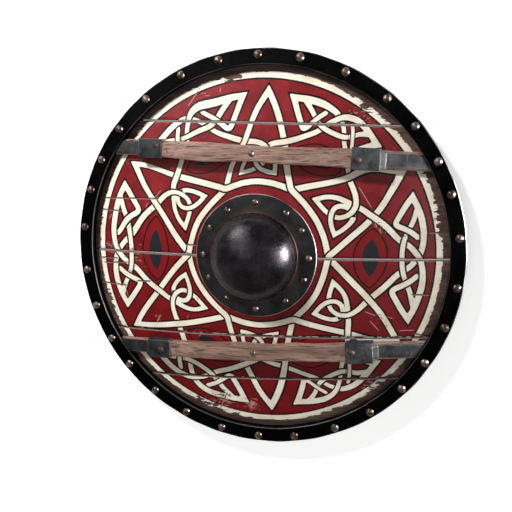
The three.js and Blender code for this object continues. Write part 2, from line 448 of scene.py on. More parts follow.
@dataclass(frozen=True)
class Effects:
    """The shader groups that more than one finish uses."""

    grain: bpy.types.ShaderNodeTree
    iron: bpy.types.ShaderNodeTree


def round_place(loom: Loom, place: Socket) -> tuple[Socket, Socket]:
    """The distance from the upright axis and the height, in millimetres."""
    flat = loom.node("ShaderNodeSeparateXYZ", Vector=place)
    across = loom.math("POWER", flat.outputs[0], 2.0)
    along = loom.math("POWER", flat.outputs[1], 2.0)
    radius = loom.math("SQRT", loom.math("ADD", across, along))
    return loom.math("MULTIPLY", radius, 1000.0), loom.math("MULTIPLY", flat.outputs[2], 1000.0)


@dataclass(frozen=True)
class PaintedBoard:
    """Oak boards under worn red, cream and black paint."""

    label: str = "Painted board"
    deep_red: tuple = (srgb(104, 11, 16), srgb(122, 17, 22))
    # The red towards the top of the face, lighter and greyer: painted sheen from the light above.
    top_sheen_red: tuple = (srgb(110, 22, 27), srgb(134, 34, 39))
    cream: tuple = (srgb(230, 218, 196), srgb(245, 236, 219))
    aged: tuple = srgb(160, 136, 100)
    ink: tuple = srgb(13, 10, 11)
    eye_red: tuple = srgb(124, 20, 25)
    eye_line: tuple = srgb(34, 8, 12)
    slate: tuple = srgb(32, 36, 41)
    wood: tuple = (srgb(66, 49, 45), srgb(102, 80, 73))
    pore: tuple = srgb(26, 18, 16)
    lit_lip: tuple = srgb(146, 128, 118)
    shaded_lip: tuple = srgb(58, 40, 36)
    under_red: tuple = srgb(186, 136, 126)
    under_cream: tuple = srgb(52, 42, 36)
    gap: tuple = srgb(9, 7, 7)
    # Y in metres over which the red turns to the lighter top red: painted sheen.
    top_sheen_from: tuple = (-0.3, 0.3)
    outline: float = 1.95
    ring: tuple = (326.3, 338.8)

    def paint(self, loom: Loom, place: Socket, outer: Socket, shake: Socket) -> tuple[Socket, Socket]:
        """The sound paint, by the distances that the boards carry.

        Args:
            loom: Works on the material's tree.
            place: The place on the board.
            outer: The distance from the middle, a little uneven.
            shake: A small unevenness for every edge of the paint.

        Returns:
            The colour, and how far it is the pale paint.
        """
        mottled = loom.noise(place, 26.0, 5.0, 0.6)
        fine = loom.noise(loom.stretched(place, (40.0, 700.0, 700.0)), 1.0, 3.0, 0.6)
        up = loom.node("ShaderNodeSeparateXYZ", Vector=place).outputs[1]
        blotch = loom.step(mottled, 0.3, 0.7)
        # The red is painted lighter and greyer towards the top: painted sheen from the light above.
        top_sheen = loom.step(up, *self.top_sheen_from)
        red = loom.mix(top_sheen, loom.mix(blotch, *self.deep_red), loom.mix(blotch, *self.top_sheen_red))
        cream = loom.mix(loom.step(mottled, 0.35, 0.6), *self.cream)
        streak = loom.math("MULTIPLY", loom.step(fine, 0.58, 0.74), 0.3)
        speck = loom.step(loom.noise(place, 330.0, 2.0, 0.5), 0.7, 0.76)
        cream = loom.mix(loom.math("MAXIMUM", streak, loom.math("MULTIPLY", speck, 0.6)), cream, self.aged)
        eye = loom.mark("eye")
        ground = loom.mix(loom.step(eye, 0.6, -0.6), red, self.eye_red)
        ground = loom.mix(loom.stroke(eye, 1.7), ground, self.eye_line)
        ground = loom.mix(loom.step(loom.mark("almond"), 0.5, -0.5), ground, self.slate)
        in_ring = loom.step(outer, self.ring[0], self.ring[0] + 0.6)
        ground = loom.mix(in_ring, ground, cream)
        inner_line = loom.stroke(loom.math("SUBTRACT", outer, self.ring[0]), self.outline)
        ground = loom.mix(inner_line, ground, self.ink)
        ribbon = loom.math("MULTIPLY_ADD", shake, 0.5, loom.mark("ribbon"))
        over = loom.math("MULTIPLY_ADD", shake, 0.5, loom.mark("over"))
        in_ribbon = loom.step(ribbon, 0.35, -0.35)
        under = loom.mix(in_ribbon, ground, cream)
        under = loom.mix(loom.stroke(ribbon, self.outline), under, self.ink)
        on_top = loom.mix(loom.stroke(over, self.outline), cream, self.ink)
        crosses = loom.step(loom.mark("cross"), -0.2, 0.2)
        hides = loom.math("MULTIPLY", crosses, loom.step(over, self.outline - 0.2, self.outline - 0.6))
        return loom.mix(hides, under, on_top), loom.math("MAXIMUM", in_ribbon, in_ring)

    def scuffed(self, loom: Loom, place: Socket, splinter: Socket) -> Socket:
        """Where the paint is scratched or flaked inside the ring."""
        wear = loom.mark("wear")
        flakes = loom.noise(place, 130.0, 7.0, 0.7)
        chip = loom.math("ADD", loom.math("MULTIPLY", splinter, 0.6), loom.math("MULTIPLY", flakes, 0.4))
        worn = loom.step(loom.math("MULTIPLY_ADD", wear, 0.25, chip), 0.69, 0.72)
        broken = loom.step(loom.noise(place, 70.0, 4.0, 0.7), 0.26, 0.4)
        thin = loom.math("MULTIPLY_ADD", splinter, 0.9, -0.1)
        scratch = loom.stroke(loom.mark("scratch"), 0.95, 0.5)
        scratch = loom.math("MULTIPLY", scratch, loom.math("MULTIPLY", broken, loom.mark("scratch_near")))
        hair = loom.step(loom.noise(loom.stretched(place, (26.0, 560.0, 560.0)), 1.0, 2.0, 0.5), 0.735, 0.77)
        scratch = loom.math("MAXIMUM", scratch, loom.math("MULTIPLY", hair, thin))
        return loom.math("MAXIMUM", worn, scratch)

    def unpainted(self, loom: Loom, place: Socket, outer: Socket, splinter: Socket) -> Socket:
        """Where the boards are bare outside the ring, its edge chipped along the grain."""
        chunks = loom.noise(loom.stretched(place, (34.0, 95.0, 95.0)), 1.0, 4.0, 0.6)
        reach = loom.math("MULTIPLY_ADD", loom.mark("chipped"), 15.0, 1.4)
        chipped = loom.math("MULTIPLY", loom.step(chunks, 0.44, 0.6), reach)
        ragged = loom.math("SUBTRACT", splinter, 0.5)
        splintered = loom.math("MULTIPLY", ragged, loom.math("MULTIPLY", reach, 0.7))
        edge = loom.math("ADD", outer, loom.math("ADD", chipped, splintered))
        return loom.step(edge, self.ring[1], self.ring[1] + 0.7)

    def lay(self, loom: Loom, shader: bpy.types.Node, effects: Effects) -> None:
        """Lays the paint and its wear on the boards."""
        place = loom.place()
        radius, _ = round_place(loom, place)
        grain = loom.group(effects.grain, Place=place, Coarseness=1.0)
        wood = loom.mix(loom.step(grain.outputs["Tone"], 0.4, 0.6), *self.wood)
        wood = loom.mix(loom.math("MULTIPLY", grain.outputs["Pores"], 0.7), wood, self.pore)
        shake = loom.math("MULTIPLY_ADD", loom.noise(place, 260.0, 3.0), 1.6, -0.8)
        outer = loom.math("MULTIPLY_ADD", shake, 0.6, radius)
        splinter = loom.noise(loom.stretched(place, (45.0, 420.0, 420.0)), 1.0, 5.0, 0.62)
        sound, pale = self.paint(loom, place, outer, shake)
        scuffed = self.scuffed(loom, place, splinter)
        bare = self.unpainted(loom, place, outer, splinter)

        # Joints and cracks: a dark gap, a lit lip below it and a shaded lip above it
        upper = loom.math("MULTIPLY_ADD", splinter, -2.2, loom.mark("upper"))
        lower = loom.math("MULTIPLY_ADD", splinter, -2.0, loom.mark("lower"))
        crack = loom.mark("crack")
        near = loom.mark("crack_near")
        crack_lip = loom.math("MULTIPLY", loom.stroke(loom.math("ADD", crack, 1.6), 1.3), near)
        lit = loom.math("MAXIMUM", loom.step(upper, 2.6, 1.8), crack_lip)
        shaded = loom.step(lower, 0.5, -0.1)
        dark = loom.math("MULTIPLY", loom.stroke(crack, 0.85), near)
        dark = loom.math("MAXIMUM", dark, loom.step(lower, 0.1, -0.3))
        dark = loom.math("MAXIMUM", dark, loom.step(upper, 0.0, -0.4))

        colour = loom.mix(scuffed, sound, loom.mix(pale, self.under_red, self.under_cream))
        colour = loom.mix(bare, colour, wood)
        colour = loom.mix(lit, colour, loom.mix(splinter, self.wood[1], self.lit_lip))
        colour = loom.mix(shaded, colour, self.shaded_lip)
        colour = loom.mix(dark, colour, self.gap)
        colour = loom.mix(loom.mark("painted"), wood, colour)
        # The board is darker in patches close to the rim.
        dark_patches = loom.math("MULTIPLY", loom.step(radius, 330.0, 354.0), loom.step(splinter, 0.4, 0.6))
        colour = loom.mix(loom.math("MULTIPLY", dark_patches, 0.35), colour, self.pore)
        loom.feed(shader.inputs["Base Color"], colour)

        gone = loom.math("MAXIMUM", loom.math("MAXIMUM", scuffed, bare), loom.math("MAXIMUM", lit, shaded))
        rough = loom.math("MULTIPLY_ADD", loom.noise(place, 90.0, 3.0), 0.16, 0.34)
        loom.feed(shader.inputs["Roughness"], loom.math("MAXIMUM", rough, loom.math("MULTIPLY", gone, 0.8)))
        share = loom.math("MULTIPLY_ADD", gone, 0.75, 0.16)
        relief = loom.math("MULTIPLY", grain.outputs["Height"], share)
        relief = loom.math("SUBTRACT", relief, loom.math("MULTIPLY", gone, 0.4))
        relief = loom.math("SUBTRACT", relief, loom.math("MULTIPLY", dark, 1.2))
        shader.inputs["Specular IOR Level"].default_value = 0.2
        loom.feed(shader.inputs["Normal"], loom.bump(relief, 0.6, 1.0))


@dataclass(frozen=True)
class BareWood:
    """Oiled wood without paint: its late wood, early wood and pores."""

    label: str
    deep: tuple
    pale: tuple
    pore: tuple = srgb(44, 28, 24)
    dark_patches: tuple = srgb(70, 50, 44)

    def lay(self, loom: Loom, shader: bpy.types.Node, effects: Effects) -> None:
        """Lays the wood's figure, with dark checks along the grain."""
        place = loom.place()
        grain = loom.group(effects.grain, Place=place, Coarseness=0.75)
        tone = loom.step(grain.outputs["Tone"], 0.36, 0.64)
        colour = loom.mix(tone, self.deep, self.pale)
        dirty = loom.step(loom.noise(loom.stretched(place, (9.0, 34.0, 34.0)), 1.0, 5.0, 0.6), 0.48, 0.7)
        colour = loom.mix(loom.math("MULTIPLY", dirty, 0.4), colour, self.dark_patches)
        along_grain = loom.stretched(place, (13.0, 260.0, 260.0))
        checks = loom.step(loom.noise(along_grain, 1.0, 4.0, 0.6), 0.565, 0.64)
        dark = loom.math("MAXIMUM", grain.outputs["Pores"], checks)
        colour = loom.mix(loom.math("MULTIPLY", dark, 0.8), colour, self.pore)
        loom.feed(shader.inputs["Base Color"], colour)
        loom.feed(shader.inputs["Roughness"], loom.math("MULTIPLY_ADD", tone, 0.16, 0.52))
        relief = loom.math("SUBTRACT", grain.outputs["Height"], loom.math("MULTIPLY", dark, 0.7))
        loom.feed(shader.inputs["Normal"], loom.bump(relief, 0.7, 1.0))


@dataclass(frozen=True)
class RimIron:
    """Almost black iron, bright where its edges are rubbed."""

    label: str = "Blackened rim iron"
    black: tuple = (srgb(5, 5, 6), srgb(13, 13, 15))
    scuff: tuple = srgb(42, 41, 44)
    bright: tuple = srgb(168, 168, 168)
    outer_edge: tuple = (377.0, 378.8)
    inner_edge: tuple = (352.2, 351.3)
    front: tuple = (30.0, 33.0)

    def lay(self, loom: Loom, shader: bpy.types.Node, effects: Effects) -> None:
        """Lays the iron and rubs its two front edges."""
        place = loom.place()
        radius, height = round_place(loom, place)
        iron = loom.group(effects.iron, Place=place, Coarseness=1.0)
        cloud = iron.outputs["Cloud"]
        colour = loom.mix(loom.step(cloud, 0.35, 0.65), *self.black)
        colour = loom.mix(loom.math("MULTIPLY", iron.outputs["Rub"], 0.3), colour, self.scuff)
        jitter = loom.math("MULTIPLY_ADD", cloud, 3.2, -1.6)
        outer = loom.step(loom.math("ADD", radius, jitter), *self.outer_edge)
        inner = loom.step(loom.math("MULTIPLY_ADD", jitter, 0.4, radius), *self.inner_edge)
        inner = loom.math("MULTIPLY", inner, 0.45)
        rubbed = loom.math("MULTIPLY", loom.math("MAXIMUM", outer, inner), loom.step(height, *self.front))
        colour = loom.mix(loom.math("MULTIPLY", rubbed, 0.85), colour, self.bright)
        loom.feed(shader.inputs["Base Color"], colour)
        shader.inputs["Metallic"].default_value = 0.95
        loom.feed(shader.inputs["Roughness"], loom.math("MULTIPLY_ADD", cloud, 0.3, 0.2))
        loom.feed(shader.inputs["Normal"], loom.bump(iron.outputs["Height"], 0.35, 0.6))


@dataclass(frozen=True)
class BossIron:
    """Dark burnished iron with a rusty waist and a bright worn edge."""

    label: str = "Polished boss iron"
    dome: tuple = (srgb(30, 27, 30), srgb(62, 57, 62))
    plate: tuple = (srgb(32, 32, 34), srgb(54, 53, 54))
    rust: tuple = srgb(112, 70, 50)
    copper: tuple = srgb(186, 140, 112)
    bright: tuple = srgb(214, 211, 208)
    scuff: tuple = srgb(128, 124, 126)
    pit: tuple = srgb(20, 17, 17)
    dome_from: tuple = (60.0, 68.0)
    waist: tuple = (82.0, 11.0)
    brow: float = 69.5
    edge: tuple = (115.2, 116.4)

    def lay(self, loom: Loom, shader: bpy.types.Node, effects: Effects) -> None:
        """Lays the burnished dome, the duller flange and their rust and wear."""
        place = loom.place()
        radius, height = round_place(loom, place)
        iron = loom.group(effects.iron, Place=place, Coarseness=1.0)
        cloud = loom.step(iron.outputs["Cloud"], 0.3, 0.7)
        grit = loom.noise(place, 520.0, 2.0, 0.6)
        up = loom.step(height, *self.dome_from)
        colour = loom.mix(up, loom.mix(cloud, *self.plate), loom.mix(cloud, *self.dome))
        near = loom.math("ABSOLUTE", loom.math("SUBTRACT", radius, self.waist[0]))
        rust = loom.math("MULTIPLY", loom.step(near, self.waist[1], 1.0), loom.step(height, 84.0, 66.0))
        rust = loom.math("MULTIPLY", rust, loom.math("MULTIPLY_ADD", cloud, 0.4, 0.08))
        colour = loom.mix(rust, colour, self.rust)
        brow = loom.stroke(loom.math("SUBTRACT", height, self.brow), 1.7, 1.2)
        colour = loom.mix(loom.math("MULTIPLY", brow, 0.6), colour, self.copper)
        jitter = loom.math("MULTIPLY_ADD", iron.outputs["Cloud"], 2.4, -1.2)
        edge = loom.step(loom.math("ADD", radius, jitter), *self.edge)
        colour = loom.mix(loom.math("MULTIPLY", edge, 0.8), colour, self.bright)
        colour = loom.mix(loom.math("MULTIPLY", iron.outputs["Rub"], 0.2), colour, self.scuff)
        colour = loom.mix(loom.math("MULTIPLY", iron.outputs["Pits"], 0.6), colour, self.pit)
        loom.feed(shader.inputs["Base Color"], colour)
        shader.inputs["Metallic"].default_value = 0.72
        rough = loom.math("MULTIPLY_ADD", grit, 0.4, loom.math("MULTIPLY_ADD", cloud, 0.1, 0.02))
        rough = loom.math("ADD", rough, loom.math("MULTIPLY", loom.math("SUBTRACT", 1.0, up), 0.24))
        loom.feed(shader.inputs["Roughness"], rough)
        relief = loom.math("MULTIPLY_ADD", grit, 0.5, iron.outputs["Height"])
        loom.feed(shader.inputs["Normal"], loom.bump(relief, 0.45, 0.9))


@dataclass(frozen=True)
class StrapIron:
    """Dark forged strap with lighter rubbed edges."""

    label: str = "Strap iron"
    body: tuple = (srgb(40, 41, 44), srgb(72, 73, 76))
    rivet: tuple = srgb(86, 66, 58)
    scuff: tuple = srgb(132, 130, 128)
    bright: tuple = srgb(196, 192, 186)

    def lay(self, loom: Loom, shader: bpy.types.Node, effects: Effects) -> None:
        """Lays the iron, with its edges rubbed where the mesh marks them."""
        place = loom.place()
        iron = loom.group(effects.iron, Place=place, Coarseness=1.4)
        cloud = iron.outputs["Cloud"]
        colour = loom.mix(loom.step(cloud, 0.35, 0.65), *self.body)
        colour = loom.mix(loom.math("MULTIPLY", iron.outputs["Rub"], 0.35), colour, self.scuff)
        rubbed = loom.math("MULTIPLY", loom.step(loom.mark("rubbed"), 0.45, 0.95), loom.step(cloud, 0.3, 0.6))
        colour = loom.mix(loom.math("MULTIPLY", rubbed, 0.5), colour, self.bright)
        colour = loom.mix(loom.math("MULTIPLY", loom.mark("rivet"), 0.85), colour, self.rivet)
        loom.feed(shader.inputs["Base Color"], colour)
        shader.inputs["Metallic"].default_value = 0.7
        loom.feed(shader.inputs["Roughness"], loom.math("MULTIPLY_ADD", cloud, 0.3, 0.46))
        loom.feed(shader.inputs["Normal"], loom.bump(iron.outputs["Height"], 0.5, 0.8))


@dataclass(frozen=True)
class RivetIron:
    """Hammered rivet heads, rubbed bright on brown."""

    label: str = "Rivet iron"
    body: tuple = (srgb(62, 46, 40), srgb(158, 140, 131))
    pit: tuple = srgb(28, 18, 16)

    def lay(self, loom: Loom, shader: bpy.types.Node, effects: Effects) -> None:
        """Lays the iron of the heads."""
        iron = loom.group(effects.iron, Place=loom.place(), Coarseness=2.6)
        colour = loom.mix(loom.step(iron.outputs["Cloud"], 0.3, 0.7), *self.body)
        colour = loom.mix(loom.math("MULTIPLY", iron.outputs["Pits"], 0.8), colour, self.pit)
        loom.feed(shader.inputs["Base Color"], colour)
        shader.inputs["Metallic"].default_value = 0.9
        loom.feed(shader.inputs["Roughness"], loom.math("MULTIPLY_ADD", iron.outputs["Cloud"], 0.2, 0.2))
        loom.feed(shader.inputs["Normal"], loom.bump(iron.outputs["Height"], 0.3, 0.7))


@dataclass(frozen=True)
class PaleFloor:
    """The studio floor, white with a little light of its own."""

    label: str = "Pale floor"
    white: tuple = (0.9, 0.9, 0.9, 1.0)
    glow: float = 0.6

    def lay(self, loom: Loom, shader: bpy.types.Node, effects: Effects) -> None:
        """Lays the plain white."""
        shader.inputs["Base Color"].default_value = self.white
        shader.inputs["Roughness"].default_value = 0.9
        shader.inputs["Specular IOR Level"].default_value = 0.0
        shader.inputs["Emission Color"].default_value = (1.0, 1.0, 1.0, 1.0)
        shader.inputs["Emission Strength"].default_value = self.glow


class Finish(Enum):
    """The finishes that the shield's pieces take."""

    PAINTED_BOARD = PaintedBoard()
    HEWN_WOOD = BareWood("Hewn batten wood", srgb(104, 74, 63), srgb(168, 134, 118))
    GRIP_WOOD = BareWood("Handled grip wood", srgb(84, 56, 42), srgb(132, 94, 70))
    RIM_IRON = RimIron()
    BOSS_IRON = BossIron()
    STRAP_IRON = StrapIron()
    RIVET_IRON = RivetIron()
    FLOOR = PaleFloor()


class Finishes:
    """Makes a material for each finish, and gives them out."""

    def __init__(self) -> None:
        """Builds the shared effects, and every material once."""
        self.effects = Effects(grain_group(), iron_group())
        self.made = {finish: self.make(finish) for finish in Finish}

    def make(self, finish: Finish) -> bpy.types.Material:
        """The material of one finish."""
        material = bpy.data.materials.new(finish.value.label)
        material.use_nodes = True
        shader = material.node_tree.nodes["Principled BSDF"]
        finish.value.lay(Loom(material.node_tree), shader, self.effects)
        return material

    def dress(self, piece: bpy.types.Object, finish: Finish) -> None:
        """Gives a piece its one material."""
        piece.data.materials.clear()
        piece.data.materials.append(self.made[finish])


# The painted pattern


def rotated(points: np.ndarray, degrees: float) -> np.ndarray:
    """Rows turned about the origin, counterclockwise, with any third column kept."""
    turn = math.radians(degrees)
    out = points.copy()
    out[:, 0] = points[:, 0] * math.cos(turn) - points[:, 1] * math.sin(turn)
    out[:, 1] = points[:, 0] * math.sin(turn) + points[:, 1] * math.cos(turn)
    return out


def mirrored(points: np.ndarray) -> np.ndarray:
    """Rows mirrored across the X axis."""
    out = points.copy()
    out[:, 1] *= -1.0
    return out


def smooth_run(points: np.ndarray, spacing: float = 3.5) -> np.ndarray:
    """A smooth line through given points.

    Args:
        points: Rows of x, y and half width.
        spacing: About how far apart the new points are.

    Returns:
        The new rows, from the first point to the last.
    """
    padded = np.vstack([2 * points[0] - points[1], points, 2 * points[-1] - points[-2]])
    rows = [points[:1]]
    for a, b, c, d in zip(padded, padded[1:], padded[2:], padded[3:]):
        count = max(2, int(np.hypot(*(c - b)[:2]) / spacing))
        t = (np.arange(1, count + 1) / count)[:, None]
        curve = 2 * b + (c - a) * t + (2 * a - 5 * b + 4 * c - d) * t**2 + (3 * b - a - 3 * c + d) * t**3
        rows.append(curve / 2)
    return np.vstack(rows)


@dataclass(frozen=True)
class Crossing:
    """A place where one ribbon passes over another: where, which way, how far it reaches."""

    x: float
    y: float
    heading: float
    zone: float


@dataclass
class Knotwork:
    """Six equal parts of an endless ribbon knot around the boss, and its distances."""

    star_half: tuple = (
        (307, 30.0), (290, 28.06), (272, 26.0), (250, 23.5), (227, 20.6), (208, 17.7), (190, 14.6),
        (172, 10.8), (160, 7.8), (146, 3.6), (137, 0.0), (134, -8.0), (133, -18.0), (133, -30.0),
    )
    star_ribbon: float = 6.9
    diagonal: tuple = (
        (204.6, 78.3, 6.8), (222.3, 66.4, 6.8), (238, 52.6, 6.8), (257.5, 33, 6.8), (278.9, 19, 6.6),
        (290, 7.5, 6.6), (297.5, -3, 6.6), (302.3, -17, 6.8), (304.4, -35, 7), (303.5, -52, 7.4),
        (299.3, -71, 7.4), (293, -89, 7.2), (283, -109, 7),
    )
    corner: tuple = ((283, -109, 7), (269, -91, 6.8), (254, -70, 6.6))
    corner_end: tuple = (
        (254, -70, 6.6), (250.5, -63, 6.6), (254.5, -57.5, 6.4), (267, -52, 6.2), (281, -45, 6.2),
        (293.5, -35.5, 6.2),
    )
    arch: tuple = (
        (291, 86, 6), (284.5, 66, 6), (277, 51, 5.8), (270, 35, 5.8), (266.5, 20, 6), (265.4, 0, 6),
        (266.5, -20, 6), (270, -35, 5.8), (277, -51, 5.8), (284.5, -66, 6), (291, -86, 6),
    )
    knot_in: tuple = (
        (219, 35, 6.6), (216.5, 23, 6.4), (211.5, 7, 6), (203, -7, 5.8), (190, -14.5, 5.8),
        (176, -14.5, 5.6), (166, -9, 5.6), (157.5, 4, 5.6), (153, 18, 5.6), (149.5, 34.5, 5.6),
    )
    knot_out: tuple = (
        (149.5, 34.5, 5.6), (161, 32, 5.6), (172, 28, 5.6), (183, 20.5, 5.8), (192, 10, 6),
        (201, -4, 6), (210, -18, 6.3), (216.5, -33, 6.6),
    )
    loop: tuple = (
        (148.5, -36, 5.6), (151, -22, 5.6), (156.5, -7.5, 5.6), (165, 2, 5.6), (174, 6, 5.6),
        (183, 4, 5.8), (191, -4, 5.8), (193, -15, 5.8), (188, -25.5, 5.8), (177, -31.5, 5.6),
        (163, -35, 5.6), (148.5, -36, 5.6),
    )
    eye_centre: float = 210.0
    eye_size: tuple = (29.0, 55.5)
    almond_size: tuple = (14.6, 35.0)
    shift: tuple = (3.0, 2.0)
    pulls: tuple = (
        (29, 324, 29, 0), (-258, 183, 22, 21), (-275, -158, 5, 4), (25, -326, 25, -2),
        (277, -169, -4, -7), (284, 156, 3, -6), (18, 243, 15, 0), (14.5, -251, 11, 0), (285, 118, 0, 0),
        (280, -128, -4, -8.6), (-274, 146, 7, 29), (-279.5, -119, 0.5, -1), (67, 291, 27, -15),
        (230, 195, -19, 12), (-14, 300, 25, -3.5), (-193, 225, 30, 2), (-25, -300, 12, 3),
        (-206, -225, 9, -3), (70.6, -295, 29, 9.5), (217, -217, -18, -16), (-236, 91, 6, 26),
        (-240.5, -61, 1, -4), (93, 225, 19.5, -24), (-41, 234, 22, -18), (-204, 93, 6, 15),
        (-208, -74, 3.5, 0), (218, 71.5, 6, -6), (209, -77, -3, -4), (-95, 117, 8.7, 4),
        (-141, 48, 5.6, 8.4), (-145, -32.5, 1, 3), (-100, -110.5, 4, -2), (108, 109, -1.7, -3.6),
        (151, 32.5, -1.6, -6.8), (147, -41, -5, -6), (106, -113, -4, -4), (138, 4, -2, 2),
        (69, 126.5, -2, 6), (-50, 128, 15, 7), (-136.5, -2, -2.5, -4), (-58.5, -121, 7, -4.4),
        (71.5, -121, 0, -4.4), (-3, 139, 0, 4), (-4, -134, 0, -3), (300, 0, 0, 0), (-300, 0, 0, 0),
        (230, 0, 0, -2), (-230, 5, 0, 2), (130, 200, 8, -6), (-110, 190, 20, 6), (-110, -195, 10, -3),
        (130, -200, 6, -4),
    )
    pull_reach: float = 32.0
    pull_ease: float = 0.12
    near: float = 24.0
    lines: list = field(default_factory=list)
    sharp: list = field(default_factory=list)
    crossings: list = field(default_factory=list)

    def __post_init__(self) -> None:
        """Lays out every ribbon and crossing once."""
        for part in range(6):
            self.lay_part(60.0 * part)
        starts = np.vstack([line[:-1] for line in self.lines])
        ends = np.vstack([line[1:] for line in self.lines])
        keep = np.hypot(*(ends - starts)[:, :2].T) > 1e-6
        self.starts = starts[keep]
        self.ends = ends[keep]

    def add_run(self, points: np.ndarray) -> None:
        """Keeps one smooth run of ribbon."""
        self.lines.append(smooth_run(points))

    def add_sharp(self, before: np.ndarray, tip: np.ndarray, after: np.ndarray) -> None:
        """Keeps one mitred tip between two runs."""
        self.sharp.append((tip, before, after))

    def lay_part(self, turn: float) -> None:
        """Lays one sixth of the pattern.

        Args:
            turn: How far it is turned from the +X axis, in degrees.
        """
        polar = np.array(self.star_half)
        radians = np.radians(polar[:, 1])
        x = polar[:, 0] * np.cos(radians)
        y = polar[:, 0] * np.sin(radians)
        half = np.stack([x, y, np.full(len(polar), self.star_ribbon)], 1)
        far = rotated(mirrored(rotated(half[:-1], 30)), -30)[::-1]
        side = smooth_run(rotated(np.vstack([half, far]), turn))
        self.lines.append(side)
        other = rotated(mirrored(rotated(side, -turn - 30)), turn + 30)
        self.add_sharp(side[4], side[0], other[4])

        rows = [np.array(points, dtype=float) for points in (self.diagonal, self.corner, self.corner_end)]
        band, corner, end = rows
        inner = [np.array(points, dtype=float) for points in (self.knot_in, self.knot_out, self.loop)]
        knot_in, knot_out, loop = [rotated(points, 30.0) for points in inner]
        next_band = rotated(mirrored(band), 60.0)
        runs = (
            np.vstack([knot_out, band[1:]]),
            np.vstack([next_band[:0:-1], knot_in]),
            loop,
        )
        for run in runs:
            self.add_run(rotated(run, turn))
        for flip in (False, True):
            for run in (corner, end):
                self.add_run(rotated(mirrored(run) if flip else run, turn))
            tip, before, after = band[-1:], band[-2:-1], corner[1:2]
            trio = [rotated(mirrored(row) if flip else row, turn)[0] for row in (before, tip, after)]
            self.add_sharp(*trio)
        self.add_run(rotated(np.array(self.arch, dtype=float), turn))
        for before, tip, after in ((knot_in[-2], knot_in[-1], knot_out[1]), (loop[-2], loop[0], loop[1])):
            trio = [rotated(row[None, :], turn)[0] for row in (before, tip, after)]
            self.add_sharp(*trio)

        spots = [
            (137, 0, 62, 15), (209.5, 75, -34, 15), (209.5, -75, -50, 15),
            (267.5, 27, 75, 13), (267.5, -27, -75, 13), (277, 48, -27, 12), (277, -48, 27, 12),
            (296, -1, -57, 15), (303, 30, 88, 13), (303, -30, -88, 13),
        ]
        arm = [(204, -8, 50, 12), (193, -13.5, 14, 10), (160.5, -1.5, 48, 12)]
        for x, y, heading, zone in arm:
            place = rotated(np.array([[x, y, 0.0]]), 30.0)[0]
            spots.append((place[0], place[1], heading + 30, zone))
        for x, y, heading, zone in spots:
            place = rotated(np.array([[x, y, 0.0]]), turn)[0]
            self.crossings.append(Crossing(place[0], place[1], heading + turn, zone))

    def drawn_at(self, points: np.ndarray) -> np.ndarray:
        """Where on the even pattern a place on the board lies, as the painter's hand wandered.

        Args:
            points: Rows of x and y on the board.

        Returns:
            Rows of x and y on the even pattern.
        """
        radius = np.hypot(points[:, 0], points[:, 1])
        fade = np.clip((315.0 - radius) / 60.0, 0.0, 1.0)[:, None]
        out = points - np.array(self.shift) * fade
        total = np.full(len(points), self.pull_ease)
        moved = np.zeros_like(points)
        for x, y, dx, dy in self.pulls:
            away = (points[:, 0] - x) ** 2 + (points[:, 1] - y) ** 2
            weight = np.exp(-away / (2 * self.pull_reach**2))
            total += weight
            moved += weight[:, None] * np.array([dx, dy])
        return out - moved / total[:, None]

    def ribbon_gap(self, points: np.ndarray, starts: np.ndarray, ends: np.ndarray) -> np.ndarray:
        """Signed distance from places to the nearest of some ribbon segments.

        Args:
            points: Rows of x and y.
            starts: One row of x, y and half width for each segment's start.
            ends: The same for each segment's end.

        Returns:
            One distance per place, negative inside a ribbon.
        """
        along = ends[:, :2] - starts[:, :2]
        reach = points[:, None, :] - starts[None, :, :2]
        share = np.clip((reach * along).sum(2) / (along**2).sum(1), 0.0, 1.0)
        gap = np.hypot(*(reach - share[..., None] * along).transpose(2, 0, 1))
        width = starts[:, 2] + share * (ends[:, 2] - starts[:, 2])
        return (gap - width).min(1)

    def tip_gap(self, points: np.ndarray, tip: tuple) -> np.ndarray:
        """Signed distance to a mitred tip, large where a place isn't beyond it."""
        corner, before, after = tip
        into = (corner - before)[:2]
        into = into / np.linalg.norm(into)
        back = (corner - after)[:2]
        back = back / np.linalg.norm(back)
        rel = points - corner[:2]
        beyond = (rel @ into > 0) & (rel @ back > 0)
        first = np.abs(rel[:, 0] * into[1] - rel[:, 1] * into[0])
        second = np.abs(rel[:, 0] * back[1] - rel[:, 1] * back[0])
        return np.where(beyond, np.maximum(first, second) - corner[2], 99.0)

